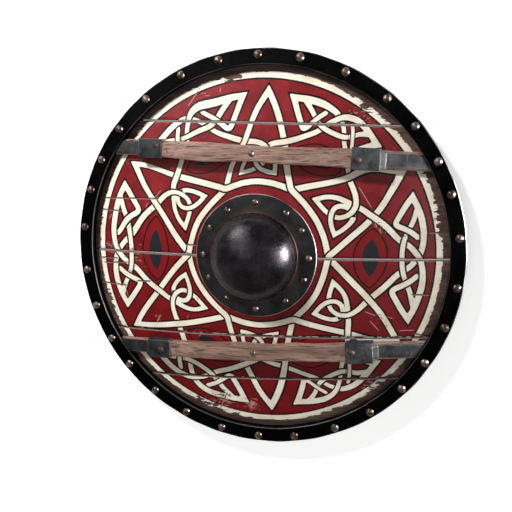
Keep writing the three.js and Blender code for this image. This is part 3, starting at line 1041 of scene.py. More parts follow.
    def measure(self, board: np.ndarray) -> dict[str, np.ndarray]:
        """Every distance that the paint needs, at places on the board.

        Args:
            board: Rows of x and y on the board.

        Returns:
            A list of numbers for each mark: ribbon, over, cross, eye and almond.
        """
        points = self.drawn_at(board)
        ribbon = np.full(len(points), self.near)
        tile = 36.0
        cells = np.floor(points / tile).astype(int)
        keys = cells[:, 0] * 1000 + cells[:, 1]
        order = np.argsort(keys, kind="stable")
        cuts = np.flatnonzero(np.diff(keys[order])) + 1
        lows = np.minimum(self.starts, self.ends)[:, :2]
        highs = np.maximum(self.starts, self.ends)[:, :2]
        for rows in np.split(order, cuts):
            box = cells[rows[0]] * tile
            hit = ((lows < box + tile + self.near) & (highs > box - self.near)).all(1)
            if hit.any():
                gap = self.ribbon_gap(points[rows], self.starts[hit], self.ends[hit])
                ribbon[rows] = np.minimum(ribbon[rows], gap)
        for tip in self.sharp:
            rows = np.flatnonzero(np.hypot(*(points - tip[0][:2]).T) < 40.0)
            ribbon[rows] = np.minimum(ribbon[rows], self.tip_gap(points[rows], tip))
        over = np.full(len(points), self.near)
        cross = np.full(len(points), -self.near)
        middle = (self.starts + self.ends)[:, :2] / 2
        heading = self.ends[:, :2] - self.starts[:, :2]
        heading = heading / np.linalg.norm(heading, axis=1)[:, None]
        for spot in self.crossings:
            centre = np.array([spot.x, spot.y])
            depth = spot.zone - np.hypot(*(points - centre).T)
            rows = np.flatnonzero((depth > -6.0) & (depth > cross))
            aim = np.array([math.cos(math.radians(spot.heading)), math.sin(math.radians(spot.heading))])
            rel = centre - middle
            off = np.abs(rel[:, 0] * heading[:, 1] - rel[:, 1] * heading[:, 0])
            near = (np.hypot(*rel.T) < spot.zone + 14.0) & (np.abs(heading @ aim) > 0.8) & (off < 7.0)
            if len(rows) and near.any():
                over[rows] = self.ribbon_gap(points[rows], self.starts[near], self.ends[near])
                cross[rows] = depth[rows]
        eye = np.full(len(points), self.near)
        almond = np.full(len(points), self.near)
        for part in range(6):
            turn = math.radians(60.0 * part)
            along = points[:, 0] * math.cos(turn) + points[:, 1] * math.sin(turn) - self.eye_centre
            up = points[:, 1] * math.cos(turn) - points[:, 0] * math.sin(turn)
            eye = np.minimum(eye, self.pointed_oval(along, up, *self.eye_size))
            almond = np.minimum(almond, self.pointed_oval(along, up, *self.almond_size))
        return {"ribbon": ribbon, "over": over, "cross": cross, "eye": eye, "almond": almond}

    def pointed_oval(self, x: np.ndarray, y: np.ndarray, wide: float, high: float) -> np.ndarray:
        """Signed distance to the pointed oval where two circles meet."""
        radius = (wide**2 + high**2) / (2 * wide)
        return np.hypot(np.abs(x) + radius - wide, y) - radius


# The board


@dataclass
class Board:
    """Five planks in one shallow dome, painted on the front."""

    radius: float = 377.2
    thickness: float = 10.0
    crown: float = 46.0
    edge_height: float = 12.8
    hole: float = 76.0
    gap: float = 0.8
    cell: float = 2.15
    snap: float = 3.4
    chamfer: tuple = (3.4, 1.5)
    seam_reach: float = 380.0
    far: float = 20.0
    mark_reach: float = 6.0
    mark_fade: float = 3.5
    names: tuple = ("plank_top", "plank_upper", "plank_middle", "plank_lower", "plank_bottom")
    seams: tuple = ((267.9, 226.1), (3.04, -4.94), (-161.88, -148.96), (-264.1, -226.1))
    lifts: tuple = (0.15, -0.1, 0.12, -0.15, 0.1)
    cracks: tuple = (
        (-328, 109, -195, 108), (-337, 86, -281, 83), (-343, -66, -278, -69), (-256, -58, -220, -57),
        (-348, -14, -296, -13), (-333, -24, -272, -21), (313, 45, 336, 44), (290, -142, 311, -147),
        (284, -68, 318, -69), (-140, 20, -112, 19),
    )
    scratches: tuple = (
        (-108, 317, -134, 281), (-190, 124, -208, 105), (-220, 99, -227, 89), (190, 128, 214, 89),
        (227, 53, 231, 41), (202, -101, 222, -110), (212, -119, 229, -139), (242, -111, 255, -115),
        (264, -138, 292, -137), (-203, -126, -215, -144), (-142, -123, -145, -130),
        (-115, -156, -122, -167), (-70, -283, -94, -332), (-20, -295, -22, -324),
        (-26, -306, -12, -307), (-88, -283, -81, -289), (-68, 315, -69, 303), (-326, 16, -309, 9),
        (213, 68, 216, 59), (220, 64, 223, 52), (232, 59, 233, 50), (240, 50, 238, 44),
        (223, -107, 234, -107), (230, -110, 237, -118), (238, -119, 241, -123), (239, -126, 245, -132),
        (-285, -63, -278, -95), (-123, -84, -117, -92), (-154, -292, -152, -297),
        (-140, -298, -130, -306), (-314, 65, -306, 77), (-214, 87, -212, 79),
    )
    chips: tuple = (
        (-52, 331, 26, 1.0), (-104, 312, 14, 0.6), (197, 267, 22, 0.6), (241, 228, 16, 1.0),
        (325, 64, 22, 0.7), (-137, -302, 18, 0.7), (-86, -310, 24, 1.0), (-58, -326, 18, 0.8),
        (142, -312, 24, 0.7), (-329, -100, 20, 0.5), (226, -250, 20, 0.7), (-240, 236, 12, 0.5),
        (300, 150, 16, 0.3), (-334, 60, 20, 0.3),
    )
    flakes: tuple = (
        (-250, -8, 28, 0.6), (-104, 306, 18, 0.5), (200, 262, 24, 0.7), (-80, -302, 26, 0.8),
        (-20, -308, 15, 0.9), (-118, -306, 16, 0.6), (148, -318, 22, 0.7), (222, -248, 22, 0.8),
        (-290, -70, 20, 0.5), (-212, -132, 9, 0.9), (225, -125, 14, 0.5), (222, 60, 12, 0.5),
        (-305, 12, 22, 0.6), (120, 12, 8, 0.5), (-196, 112, 12, 0.5),
    )

    def front(self, radius: np.ndarray | float) -> np.ndarray | float:
        """Height of the front at a distance from the middle."""
        return self.edge_height + self.crown * (1.0 - (radius / self.radius) ** 2)

    def seam_at(self, index: int, x: np.ndarray | float) -> np.ndarray | float:
        """Height on the face of a joint between two planks, at a place along it."""
        left, right = self.seams[index]
        return left + (right - left) * (x + self.seam_reach) / (2 * self.seam_reach)

    def cut_along(self, plank: bpy.types.Object, index: int, upper: bool) -> None:
        """Cuts a plank along one joint, half a gap away from it.

        Args:
            plank: The plank, still flat.
            index: Which joint.
            upper: Whether the joint is the plank's upper one.
        """
        left, right = self.seams[index]
        along = Vector((2 * self.seam_reach, right - left, 0.0)).normalized()
        outward = Vector((-along.y, along.x, 0.0))
        if not upper:
            outward.negate()
        middle = Vector((0.0, (left + right) / 2, 0.0)) - outward * self.gap / 2
        with on_bench(plank):
            bpy.ops.mesh.select_all(action="SELECT")
            bpy.ops.mesh.bisect(plane_co=middle * MM, plane_no=outward, clear_outer=True)

    def trim_round(self, plank: bpy.types.Object) -> None:
        """Trims a flat plank to the board's outline and to the hand hole."""
        inner = self.hole * MM
        outer = self.radius * MM
        snap = self.snap * MM
        with on_bench(plank) as mesh:
            choose(mesh, lambda co: not inner < math.hypot(co.x, co.y) < outer)
            bpy.ops.mesh.delete(type="VERT")
        with on_bench(plank) as mesh:
            for vert in mesh.verts:
                radius = math.hypot(vert.co.x, vert.co.y)
                if not vert.is_boundary:
                    continue
                wanted = radius
                if radius > outer - snap:
                    wanted = outer
                elif radius < inner + snap:
                    wanted = inner
                if self.edge_distance(vert.co.x / MM, vert.co.y / MM) < 0.02 + self.gap / 2:
                    vert.co.x = math.copysign(math.sqrt(max(wanted**2 - vert.co.y**2, 0.0)), vert.co.x)
                else:
                    vert.co.xy = vert.co.xy * (wanted / radius)

    def edge_distance(self, x: np.ndarray | float, y: np.ndarray | float) -> np.ndarray | float:
        """Distance to the nearest joint between planks."""
        gaps = [np.abs(y - self.seam_at(index, x)) for index in range(len(self.seams))]
        return np.minimum.reduce(gaps)

    def plank(self, index: int) -> bpy.types.Object:
        """Cuts one plank, bends it to the dome and gives it its thickness.

        Args:
            index: Which plank, counted from the top.

        Returns:
            The plank.
        """
        top = self.radius if index == 0 else max(self.seams[index - 1])
        low = -self.radius if index == len(self.seams) else min(self.seams[index])
        span = top - low + 2.0
        across = (int(2 * self.radius / self.cell), int(span / self.cell))
        plank = sheet(self.names[index], across, (2 * self.radius + 1.0, span))
        plank.location.y = (top + low) / 2 * MM
        set_in_place(plank)
        if index > 0:
            self.cut_along(plank, index - 1, True)
        if index < len(self.seams):
            self.cut_along(plank, index, False)
        self.trim_round(plank)
        points = points_of(plank)
        radius = np.hypot(points[:, 0], points[:, 1])
        wide, deep = self.chamfer
        edge = self.edge_distance(points[:, 0], points[:, 1]) - self.gap / 2
        worn = np.clip(1.0 - edge / wide, 0.0, 1.0)
        chipped = 0.75 + 0.35 * ripple(points * np.array([1.0, 0.2, 0.2]), 16.0, 11 + index)
        wave = 0.16 * ripple(points * np.array([0.18, 1.0, 1.0]), 26.0, 31 + index)
        points[:, 2] = self.front(radius) + self.lifts[index] + wave - deep * worn * chipped
        move_points(plank, points)
        finish_with(plank, "SOLIDIFY", thickness=self.thickness * MM, offset=-1.0, use_even_offset=False)
        close_seams(plank)
        points = points_of(plank)
        radius = np.hypot(points[:, 0], points[:, 1])
        points[:, :2] *= (np.clip(radius, self.hole, self.radius) / radius)[:, None]
        move_points(plank, points)
        soften(plank, 40.0)
        return plank

    def line_marks(self, points: np.ndarray, lines: tuple) -> tuple[np.ndarray, np.ndarray]:
        """Distances to the nearest of some thin straight marks.

        Args:
            points: Rows of x and y.
            lines: Each mark's two ends.

        Returns:
            The distance above the nearest mark, and 1 near it, fading at its ends.
        """
        gap = np.full(len(points), self.far)
        near = np.zeros(len(points))
        for x0, y0, x1, y1 in lines:
            length = math.hypot(x1 - x0, y1 - y0)
            ahead = np.array([x1 - x0, y1 - y0]) / length * (1.0 if x1 > x0 else -1.0)
            rel = points - ((x0 + x1) / 2, (y0 + y1) / 2)
            above = rel[:, 1] * ahead[0] - rel[:, 0] * ahead[1]
            past = np.abs(rel @ ahead) - length / 2
            closer = (np.abs(above) < np.abs(gap)) & (past < self.mark_reach)
            gap = np.where(closer, above, gap)
            beside = np.clip(self.mark_reach - np.abs(above), 0.0, 1.0)
            near = np.where(closer, np.clip(-past / self.mark_fade, 0.0, 1.0) * beside, near)
        return gap, near

    def mark_paint(self, plank: bpy.types.Object, index: int, pattern: Knotwork) -> None:
        """Writes the paint's distances on a plank.

        Args:
            plank: The plank with its thickness.
            index: Which plank, counted from the top.
            pattern: The painted pattern.
        """
        points = points_of(plank)
        x, y = points[:, 0], points[:, 1]
        for name, values in pattern.measure(points[:, :2]).items():
            write_mark(plank, name, values)
        far = np.full(len(points), self.far)
        above = self.seam_at(index - 1, x) - y if index > 0 else far
        below = y - self.seam_at(index, x) if index < len(self.seams) else far
        write_mark(plank, "upper", np.minimum(above - self.gap / 2, far))
        write_mark(plank, "lower", np.minimum(below - self.gap / 2, far))
        for name, lines in (("crack", self.cracks), ("scratch", self.scratches)):
            gap, near = self.line_marks(points[:, :2], lines)
            write_mark(plank, name, gap)
            write_mark(plank, f"{name}_near", near)
        for name, spots in (("chipped", self.chips), ("wear", self.flakes)):
            worn = np.zeros(len(points))
            for x0, y0, size, strength in spots:
                worn = np.maximum(worn, strength * np.exp(-((x - x0) ** 2 + (y - y0) ** 2) / (2 * size**2)))
            write_mark(plank, name, worn)
        normal = np.empty(len(plank.data.polygons) * 3)
        plank.data.polygons.foreach_get("normal", normal)
        up = normal.reshape(-1, 3)[:, 2] > 0.5
        write_mark(plank, "painted", up.astype(float), "FACE")

    def build(self, finishes: Finishes) -> None:
        """Builds and dresses the five planks."""
        pattern = Knotwork()
        for index, name in enumerate(self.names):
            plank = self.plank(index)
            plank.name = f"{name}_board"
            self.mark_paint(plank, index, pattern)
            finishes.dress(plank, Finish.PAINTED_BOARD)
            hand_over(plank, "painted_wood", name)


# Iron around and on the board


@dataclass
class Rim:
    """The C-shaped iron band around the board, and its rivets."""

    outer: float = 380.0
    gauge: float = 2.5
    face: float = 29.0
    height: float = 35.5
    lip: float = 26.0
    bevel: float = 2.4
    inner_bevel: float = 1.0
    rivet_count: int = 30
    rivet_inset: float = 12.5
    rivet_wander: tuple = (
        -1.2, -1.4, -2.8, -4.4, -3.2, -2.6, -0.2, -0.5, -2.4, -2.3, -2.1, -0.4, -0.5, -0.5, -1.5,
        -1.0, -1.1, -1.7, -1.9, -1.9, -0.1, 0.1, 0.1, -1.8, -2.0, -0.1, 0.5, 0.0, -1.1, -1.3,
    )
    rivet_size: tuple = (7.8, 4.6)

    def section(self, board: Board) -> list[tuple[float, float]]:
        """The band's outline, cut across: radius and height round the iron.

        Args:
            board: The board, for the height where the band's inner wall meets it.

        Returns:
            The points of the closed outline.
        """
        inner = self.outer - self.face
        foot = board.front(inner) + FIT
        lip_edge = self.outer - self.lip
        back = self.outer - self.gauge
        front = [
            (self.outer - self.bevel * (1 - math.sin(a)), self.height - self.bevel * (1 - math.cos(a)))
            for a in (math.radians(step) for step in (90, 68, 45, 22, 0))
        ]
        inside = [
            (inner + self.inner_bevel * (1 - math.sin(a)), self.height - self.inner_bevel * (1 - math.cos(a)))
            for a in (math.radians(step) for step in (0, 30, 60, 90))
        ]
        flat = [(self.outer - self.bevel - step, self.height) for step in (4.0, 8.5, 13.0, 17.5, 22.0)]
        walls = [(self.outer, high) for high in (1.2, 8.0, 16.0, 24.0)]
        return [
            (lip_edge, 0.0), (lip_edge + 12.0, 0.0), (self.outer - 1.2, 0.0), *walls, *front, *flat, *inside,
            (inner, foot), (inner + self.gauge, foot), (inner + self.gauge, self.height - self.gauge),
            (back, self.height - self.gauge), (back, self.gauge), (lip_edge, self.gauge),
        ]

    def band(self, board: Board) -> bpy.types.Object:
        """The band, with the uneven outline that the hammer left."""
        band = turned("rim_band", self.section(board), 360)
        points = points_of(band)
        angle = np.arctan2(points[:, 1], points[:, 0])
        round_by = np.stack([np.cos(angle), np.sin(angle), 0 * angle], 1) * self.outer
        radius = np.hypot(points[:, 0], points[:, 1])
        facets = 0.9 * np.abs(np.sin(angle * 17.5 + 0.9 * np.sin(3 * angle))) ** 2
        dents = 0.5 + 0.5 * ripple(round_by, 85.0, 5)
        outer = np.clip((radius - (self.outer - 8.0)) / 6.0, 0.0, 1.0)
        points[:, :2] *= (1.0 - outer * (0.7 * facets + 0.7 * dents) / radius)[:, None]
        inner = np.clip((self.outer - 25.0 - radius) / 3.0, 0.0, 1.0) * (points[:, 2] > self.height - 10.5)
        points[:, :2] *= (1.0 + inner * 0.45 * ripple(round_by, 60.0, 8) / radius)[:, None]
        face = points[:, 2] > self.height - 5.5
        points[face, 2] -= 0.16 * (1.0 + ripple(points[face], 26.0, 9))
        move_points(band, points)
        soften(band, 32.0)
        return band

    def build(self, board: Board, finishes: Finishes, head: bpy.types.Object) -> None:
        """Builds the band and sets its rivets.

        Args:
            board: The board that it goes round.
            finishes: The materials.
            head: The rivet head to copy.
        """
        band = self.band(board)
        finishes.dress(band, Finish.RIM_IRON)
        hand_over(band, "rim_iron", "rim")
        for index in range(self.rivet_count):
            even = 90.0 - 360.0 * index / self.rivet_count
            angle = even + self.rivet_wander[index]
            seat = Matrix.Rotation(math.radians(angle), 4, "Z") @ Matrix.Translation(
                Vector((self.outer - self.rivet_inset, 0.0, self.height + FIT)) * MM
            )
            name = f"rim_rivet_{index + 1:02d}"
            rivet = set_rivet(head, f"{name}_head", self.rivet_size, seat, index)
            finishes.dress(rivet, Finish.RIVET_IRON)
            hand_over(rivet, "rivet_steel", name)


def rivet_head() -> bpy.types.Object:
    """One rivet head, of radius and height 1 mm: a plain half dome."""
    put_down()
    bpy.ops.mesh.primitive_uv_sphere_add(segments=20, ring_count=14, radius=MM)
    head = added("rivet_pattern")
    with on_bench(head):
        bpy.ops.mesh.select_all(action="SELECT")
        bpy.ops.mesh.bisect(plane_co=(0, 0, 0), plane_no=(0, 0, -1), clear_outer=True, use_fill=True)
    return head


def set_rivet(
    head: bpy.types.Object, name: str, size: tuple[float, float], seat: Matrix, seed: int
) -> bpy.types.Object:
    """A rivet head on its seat, with flats of its own.

    Args:
        head: The head to copy.
        name: The new piece's name.
        size: Its radius and height in millimetres.
        seat: Where it sits, +Z away from what carries it.
        seed: Picks its flats.

    Returns:
        The rivet.
    """
    rivet = spare(head, name)
    points = points_of(rivet)
    draw = np.random.default_rng(400 + seed)
    for _ in range(7):
        lean = draw.uniform(0.25, 0.95)
        spin = draw.uniform(0.0, 2.0 * math.pi)
        face = np.array([lean * math.cos(spin), lean * math.sin(spin), math.sqrt(1.0 - lean**2)])
        over = points @ face - draw.uniform(0.86, 0.93)
        points -= np.clip(over, 0.0, None)[:, None] * face
    flare = 1.0 - 0.12 * points[:, 2:3]
    points *= np.array([size[0], size[0], size[1]]) * np.hstack([flare, flare, np.ones_like(flare)])
    points[:, 2] = np.clip(points[:, 2], 0.0, size[1])
    move_points(rivet, points)
    rivet.data.transform(seat)
    soften(rivet, 24.0)
    return rivet


@dataclass
class Boss:
    """The hollow iron dome over the hand hole, its flange and its rivets."""

    gauge: float = 2.5
    flange: float = 117.0
    neck: float = 80.0
    fillet: float = 4.0
    neck_height: float = 9.0
    dome: float = 83.0
    dome_height: float = 54.0
    rivet_count: int = 12
    rivet_inset: float = 15.5
    rivet_size: tuple = (6.2, 3.6)
    rivet_wander: tuple = (-1.2, -6.7, -1.1, -1.3, 5.1, 4.3, -0.7, -4.6, -5.6, -0.8, -1.7, 1.0)

    def flange_top(self, board: Board, radius: float) -> float:
        """Height of the flange's upper side at a distance from the middle."""
        return board.front(radius) + FIT + self.gauge

    def skin(self, board: Board, inset: float) -> list[tuple[float, float]]:
        """One side of the iron, from the flange's edge to the crown.

        Args:
            board: The board that the flange follows.
            inset: How far inside the outer skin.

        Returns:
            Radius and height of each point.
        """
        neck = self.neck - inset
        dome = self.dome - inset
        foot = self.flange_top(board, self.neck + self.fillet) - inset
        widest = self.flange_top(board, self.neck) + self.neck_height
        edge = self.flange_top(board, self.flange)
        points = [(self.flange, edge - 0.9)] if inset == 0 else [(self.flange, edge - inset + 0.5)]
        points.append((self.flange - 0.9, edge - inset))
        for step in range(1, 8):
            radius = self.flange - (self.flange - self.neck - self.fillet) * step / 8
            points.append((radius, self.flange_top(board, radius) - inset))
        for step in range(0, 91, 15):
            turn = math.radians(step)
            away = self.fillet * (1 - math.sin(turn))
            raised = self.fillet * (1 - math.cos(turn))
            points.append((neck + away, foot + raised))
        for step in range(-6, 25):
            lift = math.radians(90.0 * step / 24)
            if step < 0:
                waist = neck + (dome - neck) * math.cos(math.radians(90.0 * step / 6)) ** 0.8
                points.append((waist, widest + 4.2 * step / 6))
            else:
                height = widest + (self.dome_height - inset) * math.sin(lift)
                points.append((max(dome * math.cos(lift), 0.0), height))
        points[-1] = (0.0, widest + self.dome_height - inset)
        return points

    def shell(self, board: Board) -> bpy.types.Object:
        """The boss, with the marks of raising it on its dome."""
        outline = self.skin(board, self.gauge)[::-1] + self.skin(board, 0.0)
        shell = turned("boss_shell", outline, 160)
        points = points_of(shell)
        radius = np.hypot(points[:, 0], points[:, 1])
        dome = np.clip((points[:, 2] - 68.0) / 8.0, 0.0, 1.0)
        points *= (1.0 - dome * 0.0016 * (1.0 + ripple(points, 42.0, 3)))[:, None]
        edge = np.clip((radius - (self.flange - 9.0)) / 9.0, 0.0, 1.0)
        angle = np.arctan2(points[:, 1], points[:, 0])
        circle = np.stack([np.cos(angle), np.sin(angle), 0 * angle], 1) * self.flange
        bite = edge * 0.8 * (0.5 + 0.5 * ripple(circle, 55.0, 4))
        points[:, :2] *= (1.0 - bite / np.maximum(radius, 1.0))[:, None]
        plate = np.clip((radius - (self.neck + 6.0)) / 8.0, 0.0, 1.0)
        points[:, 2] += plate * 0.22 * (1.0 + ripple(points, 34.0, 6))
        move_points(shell, points)
        soften(shell, 35.0)
        return shell

    def build(self, board: Board, finishes: Finishes, head: bpy.types.Object) -> None:
        """Builds the boss and sets its rivets.

        Args:
            board: The board that it sits on.
            finishes: The materials.
            head: The rivet head to copy.
        """
        shell = self.shell(board)
        finishes.dress(shell, Finish.BOSS_IRON)
        hand_over(shell, "boss_iron", "boss")
        run = self.flange - self.neck - self.fillet
        inside = self.flange_top(board, self.neck + self.fillet)
        fall = inside - self.flange_top(board, self.flange)
        height = inside - fall * (run - self.rivet_inset) / run + FIT
        slope = math.atan2(fall, run)
        for index in range(self.rivet_count):
            angle = math.radians(90.0 - 360.0 * index / self.rivet_count + self.rivet_wander[index])
            seat = (
                Matrix.Rotation(angle, 4, "Z")
                @ Matrix.Translation(Vector((self.flange - self.rivet_inset, 0.0, height)) * MM)
                @ Matrix.Rotation(slope, 4, "Y")
            )
            name = f"boss_rivet_{index + 1:02d}"
            rivet = set_rivet(head, f"{name}_head", self.rivet_size, seat, 40 + index)
            finishes.dress(rivet, Finish.RIVET_IRON)
            hand_over(rivet, "rivet_steel", name)


# Battens and their end fittings


@dataclass
class Batten:
    """One hewn bar across the face, with iron sleeves and straps at its ends."""

    name: str
    offset: float
    turn: float
    sleeve_reach: float
    shift: float
    outline: tuple
    thickness: float = 22.0
    end_thickness: float = 10.0
    taper: float = 9.0
    reach: float = 350.4
    sleeve_length: float = 50.0
    gauge: float = 2.4
    strap_width: float = 24.0
    rivet_size: tuple = (5.6, 3.4)
    rivet_drift: tuple = ((0.0, 0.0), (0.0, 0.0))
    rounding: float = 2.2
    iron_rounding: float = 0.55

    def depth(self, along: np.ndarray) -> np.ndarray:
        """Thickness of the bar at places along it."""
        past = np.abs(along - self.shift) - self.sleeve_reach - self.sleeve_length
        share = np.clip(past / self.taper, 0.0, 1.0)
        return self.thickness + (self.end_thickness - self.thickness) * share

    def sides(self, along: np.ndarray) -> tuple[np.ndarray, np.ndarray]:
        """The bar's lower and upper side at places along it, from its own centreline."""
        table = np.array(self.outline, dtype=float)
        low = np.interp(along, table[:, 0], table[:, 1])
        high = np.interp(along, table[:, 0], table[:, 2])
        return low, high

    def laid(self, along: np.ndarray, across: np.ndarray, height: np.ndarray) -> np.ndarray:
        """Places on the board, from places along and across the bar.

        Args:
            along: How far along the bar.
            across: How far from its centreline.
            height: Height above the floor.

        Returns:
            Rows of x, y and z.
        """
        turn = math.radians(self.turn)
        y = self.offset + across
        return np.stack([
            along * math.cos(turn) - y * math.sin(turn),
            along * math.sin(turn) + y * math.cos(turn),
            height,
        ], 1)

    def bar(self, board: Board) -> bpy.types.Object:
        """The wooden bar, scribed to the board and hewn on its sides."""
        bar = sheet(f"{self.name}_batten_bar", (230, 10), (2.0, 1.0))
        finish_with(bar, "SOLIDIFY", thickness=1.0 * MM, offset=-1.0)
        points = points_of(bar)
        share, across, top = points[:, 0], points[:, 1], points[:, 2] > -0.5
        low, high = self.sides(share * 300.0)
        across = low + (across + 0.5) * (high - low)
        length = np.sqrt(self.reach**2 - (self.offset + across) ** 2)
        along = share * length
        radius = np.hypot(along, self.offset + across)
        rough = ripple(np.stack([along * 0.25, across, 0 * along], 1), 24.0, 51 + len(self.name))
        crown = 1.1 * (1.0 - ((across - (low + high) / 2) / 17.0) ** 2)
        high_z = board.front(radius) + self.depth(along) + 0.5 * rough + crown - 1.2
        height = np.where(top, high_z, board.front(radius) + FIT)
        move_points(bar, self.laid(along, across, height))
        close_seams(bar)
        round_edges(bar, self.rounding, 3)
        soften(bar, 38.0)
        return bar

    def wrapped(self, board: Board, sign: float) -> bpy.types.Object:
        """The iron sleeve around the bar."""
        sleeve = sheet(f"{self.name}_sleeve", (24, 28), (1.0, 1.0))
        points = points_of(sleeve)
        near = self.shift + sign * self.sleeve_reach
        along = near + sign * (0.5 + points[:, 0]) * self.sleeve_length
        low, high = self.sides(along)
        skin = FIT + self.gauge
        low = low - skin
        high = high + skin
        radius = np.hypot(along, self.offset)
        foot = board.front(np.hypot(along, self.offset)) + FIT + 0.5
        tall = board.front(radius) + self.depth(along) + skin - foot
        path = (points[:, 1] + 0.5) * (2 * tall + high - low)
        rise = np.minimum(path, tall)
        run = np.clip(path - tall, 0.0, high - low)
        fall = np.clip(path - tall - (high - low), 0.0, tall)
        across = low + run
        height = foot + rise - fall
        edge = np.abs(np.hypot(along, self.offset + across) - radius)
        height = height - np.where(height > foot + tall * 0.8, edge * 0.12, 0.0)
        move_points(sleeve, self.laid(along, across, height))
        with on_bench(sleeve):
            bpy.ops.mesh.select_all(action="SELECT")
            bpy.ops.mesh.remove_doubles(threshold=0.05 * MM)
        return sleeve

    def strip(self, board: Board, sign: float) -> bpy.types.Object:
        """The flat strap from under the sleeve to the rim."""
        strip = sheet(f"{self.name}_strip", (60, 6), (1.0, 1.0))
        points = points_of(strip)
        start = self.shift + sign * (self.sleeve_reach + self.sleeve_length - 6.0)
        across = points[:, 1] * self.strap_width
        stop = sign * np.sqrt(self.reach**2 - (self.offset + across) ** 2)
        along = start + (0.5 + points[:, 0]) * (stop - start)
        radius = np.hypot(along, self.offset + across)
        height = board.front(radius) + self.depth(along) + FIT + self.gauge - 0.4
        move_points(strip, self.laid(along, across, height))
        return strip

    def fitting(self, board: Board, side: str, sign: float, head: bpy.types.Object) -> bpy.types.Object:
        """A sleeve, its strap and its set rivet, as one iron end fitting.

        Args:
            board: The board that it lies on.
            side: Its side, for the name.
            sign: -1 at the left, 1 at the right.
            head: The rivet head to copy.

        Returns:
            The fitting.
        """
        parts = [self.wrapped(board, sign), self.strip(board, sign)]
        for part in parts:
            with on_bench(part) as mesh:
                bpy.ops.mesh.select_all(action="SELECT")
                bpy.ops.mesh.normals_make_consistent(inside=False)
                mesh.faces.ensure_lookup_table()
                middle = max(mesh.faces, key=lambda face: face.calc_center_median().z)
                if middle.normal.z < 0:
                    bpy.ops.mesh.flip_normals()
            finish_with(part, "SOLIDIFY", thickness=self.gauge * MM, offset=-1.0)
            round_edges(part, self.iron_rounding, 2)
            points = points_of(part)
            points[:, 2] += 0.18 * ripple(points, 22.0, 71 + int(sign) + len(self.name))
            move_points(part, points)
        inward, drift = self.rivet_drift[0 if sign < 0 else 1]
        middle = self.shift + sign * (self.sleeve_reach + self.sleeve_length / 2 - inward)
        top = board.front(math.hypot(middle, self.offset)) + self.thickness + FIT + self.gauge / 2
        place = self.laid(np.array([middle]), np.array([drift]), np.array([top + 1.0]))[0]
        seat = Matrix.Translation(Vector(place) * MM)
        size = (self.rivet_size[0] * 1.1, self.rivet_size[1])
        rivet = set_rivet(head, "set_rivet", size, seat, 60 + int(sign * 3))
        write_mark(rivet, "rivet", np.ones(len(rivet.data.vertices)))
        fitting = join_all([parts[0], parts[1], rivet])
        fitting.name = f"{self.name}_{side}_fitting"
        soften(fitting, 34.0)
        self.rub_edges(fitting)
        return fitting

    def rub_edges(self, fitting: bpy.types.Object) -> None:
        """Marks where the iron's sharp edges are rubbed bright."""
        with on_bench(fitting) as mesh:
            turns = np.zeros(len(mesh.verts))
            for number, vert in enumerate(mesh.verts):
                angles = [edge.calc_face_angle(0.0) for edge in vert.link_edges]
                turns[number] = max(angles, default=0.0)
        write_mark(fitting, "rubbed", np.clip(turns / 0.8, 0.0, 1.0))

    def build(self, board: Board, finishes: Finishes, head: bpy.types.Object) -> None:
        """Builds the bar, its fittings and the rivet through its middle.

        Args:
            board: The board that it crosses.
            finishes: The materials.
            head: The rivet head to copy.
        """
        bar = self.bar(board)
        finishes.dress(bar, Finish.HEWN_WOOD)
        hand_over(bar, "bare_wood", f"{self.name}_batten")
        for side, sign in (("left", -1.0), ("right", 1.0)):
            fitting = self.fitting(board, side, sign, head)
            finishes.dress(fitting, Finish.STRAP_IRON)
            hand_over(fitting, "strap_iron", f"{self.name}_{side}_strap")
        top = board.front(math.hypot(self.shift, self.offset)) + self.thickness + FIT
        place = self.laid(np.array([self.shift]), np.array([0.0]), np.array([top]))[0]
        seat = Matrix.Translation(Vector(place) * MM)
        rivet = set_rivet(head, f"{self.name}_batten_rivet_head", self.rivet_size, seat, 80)
        finishes.dress(rivet, Finish.RIVET_IRON)
        hand_over(rivet, "rivet_steel", f"{self.name}_batten_rivet")


@dataclass
class Grip:
    """The waisted wooden bar across the back of the hand hole, and its rivets."""

    length: float = 250.0
    width: float = 34.0
    waist: float = 27.0
    thickness: float = 20.0
    rounding: float = 3.0
    rivet_at: float = 101.5
    rivet_size: tuple = (5.6, 3.4)

    def build(self, board: Board, finishes: Finishes, head: bpy.types.Object) -> None:
        """Builds the grip and sets its rivets.

        Args:
            board: The board that it hangs under.
            finishes: The materials.
            head: The rivet head to copy.
        """
        top = board.front(math.hypot(self.length, self.width) / 2) - board.thickness - FIT
        bar = sheet("hand_grip_bar", (12, 90), (1.0, 1.0))
        finish_with(bar, "SOLIDIFY", thickness=1.0 * MM, offset=-1.0)
        points = points_of(bar)
        share, along = points[:, 0], points[:, 1] * self.length
        pinch = (self.width - self.waist) * (1.0 - (2 * along / self.length) ** 2)
        across = share * (self.width - pinch)
        under = top - self.thickness + 1.6 * (2 * share) ** 2 * np.clip(1.4 - np.abs(along) / 90.0, 0.0, 1.0)
        height = np.where(points[:, 2] > -0.5, top, under)
        move_points(bar, np.stack([across, along, height], 1))
        round_edges(bar, self.rounding, 4)
        soften(bar, 38.0)
        finishes.dress(bar, Finish.GRIP_WOOD)
        hand_over(bar, "bare_wood", "hand_grip")
        for end, sign in (("top", 1.0), ("bottom", -1.0)):
            seat = Matrix.Translation(Vector((0.0, sign * self.rivet_at, top - self.thickness - FIT)) * MM)
            seat = seat @ Matrix.Rotation(math.pi, 4, "X")
            rivet = set_rivet(head, f"grip_{end}_rivet_head", self.rivet_size, seat, 90 + int(sign))
            finishes.dress(rivet, Finish.RIVET_IRON)
            hand_over(rivet, "rivet_steel", f"grip_{end}_rivet")


# Studio


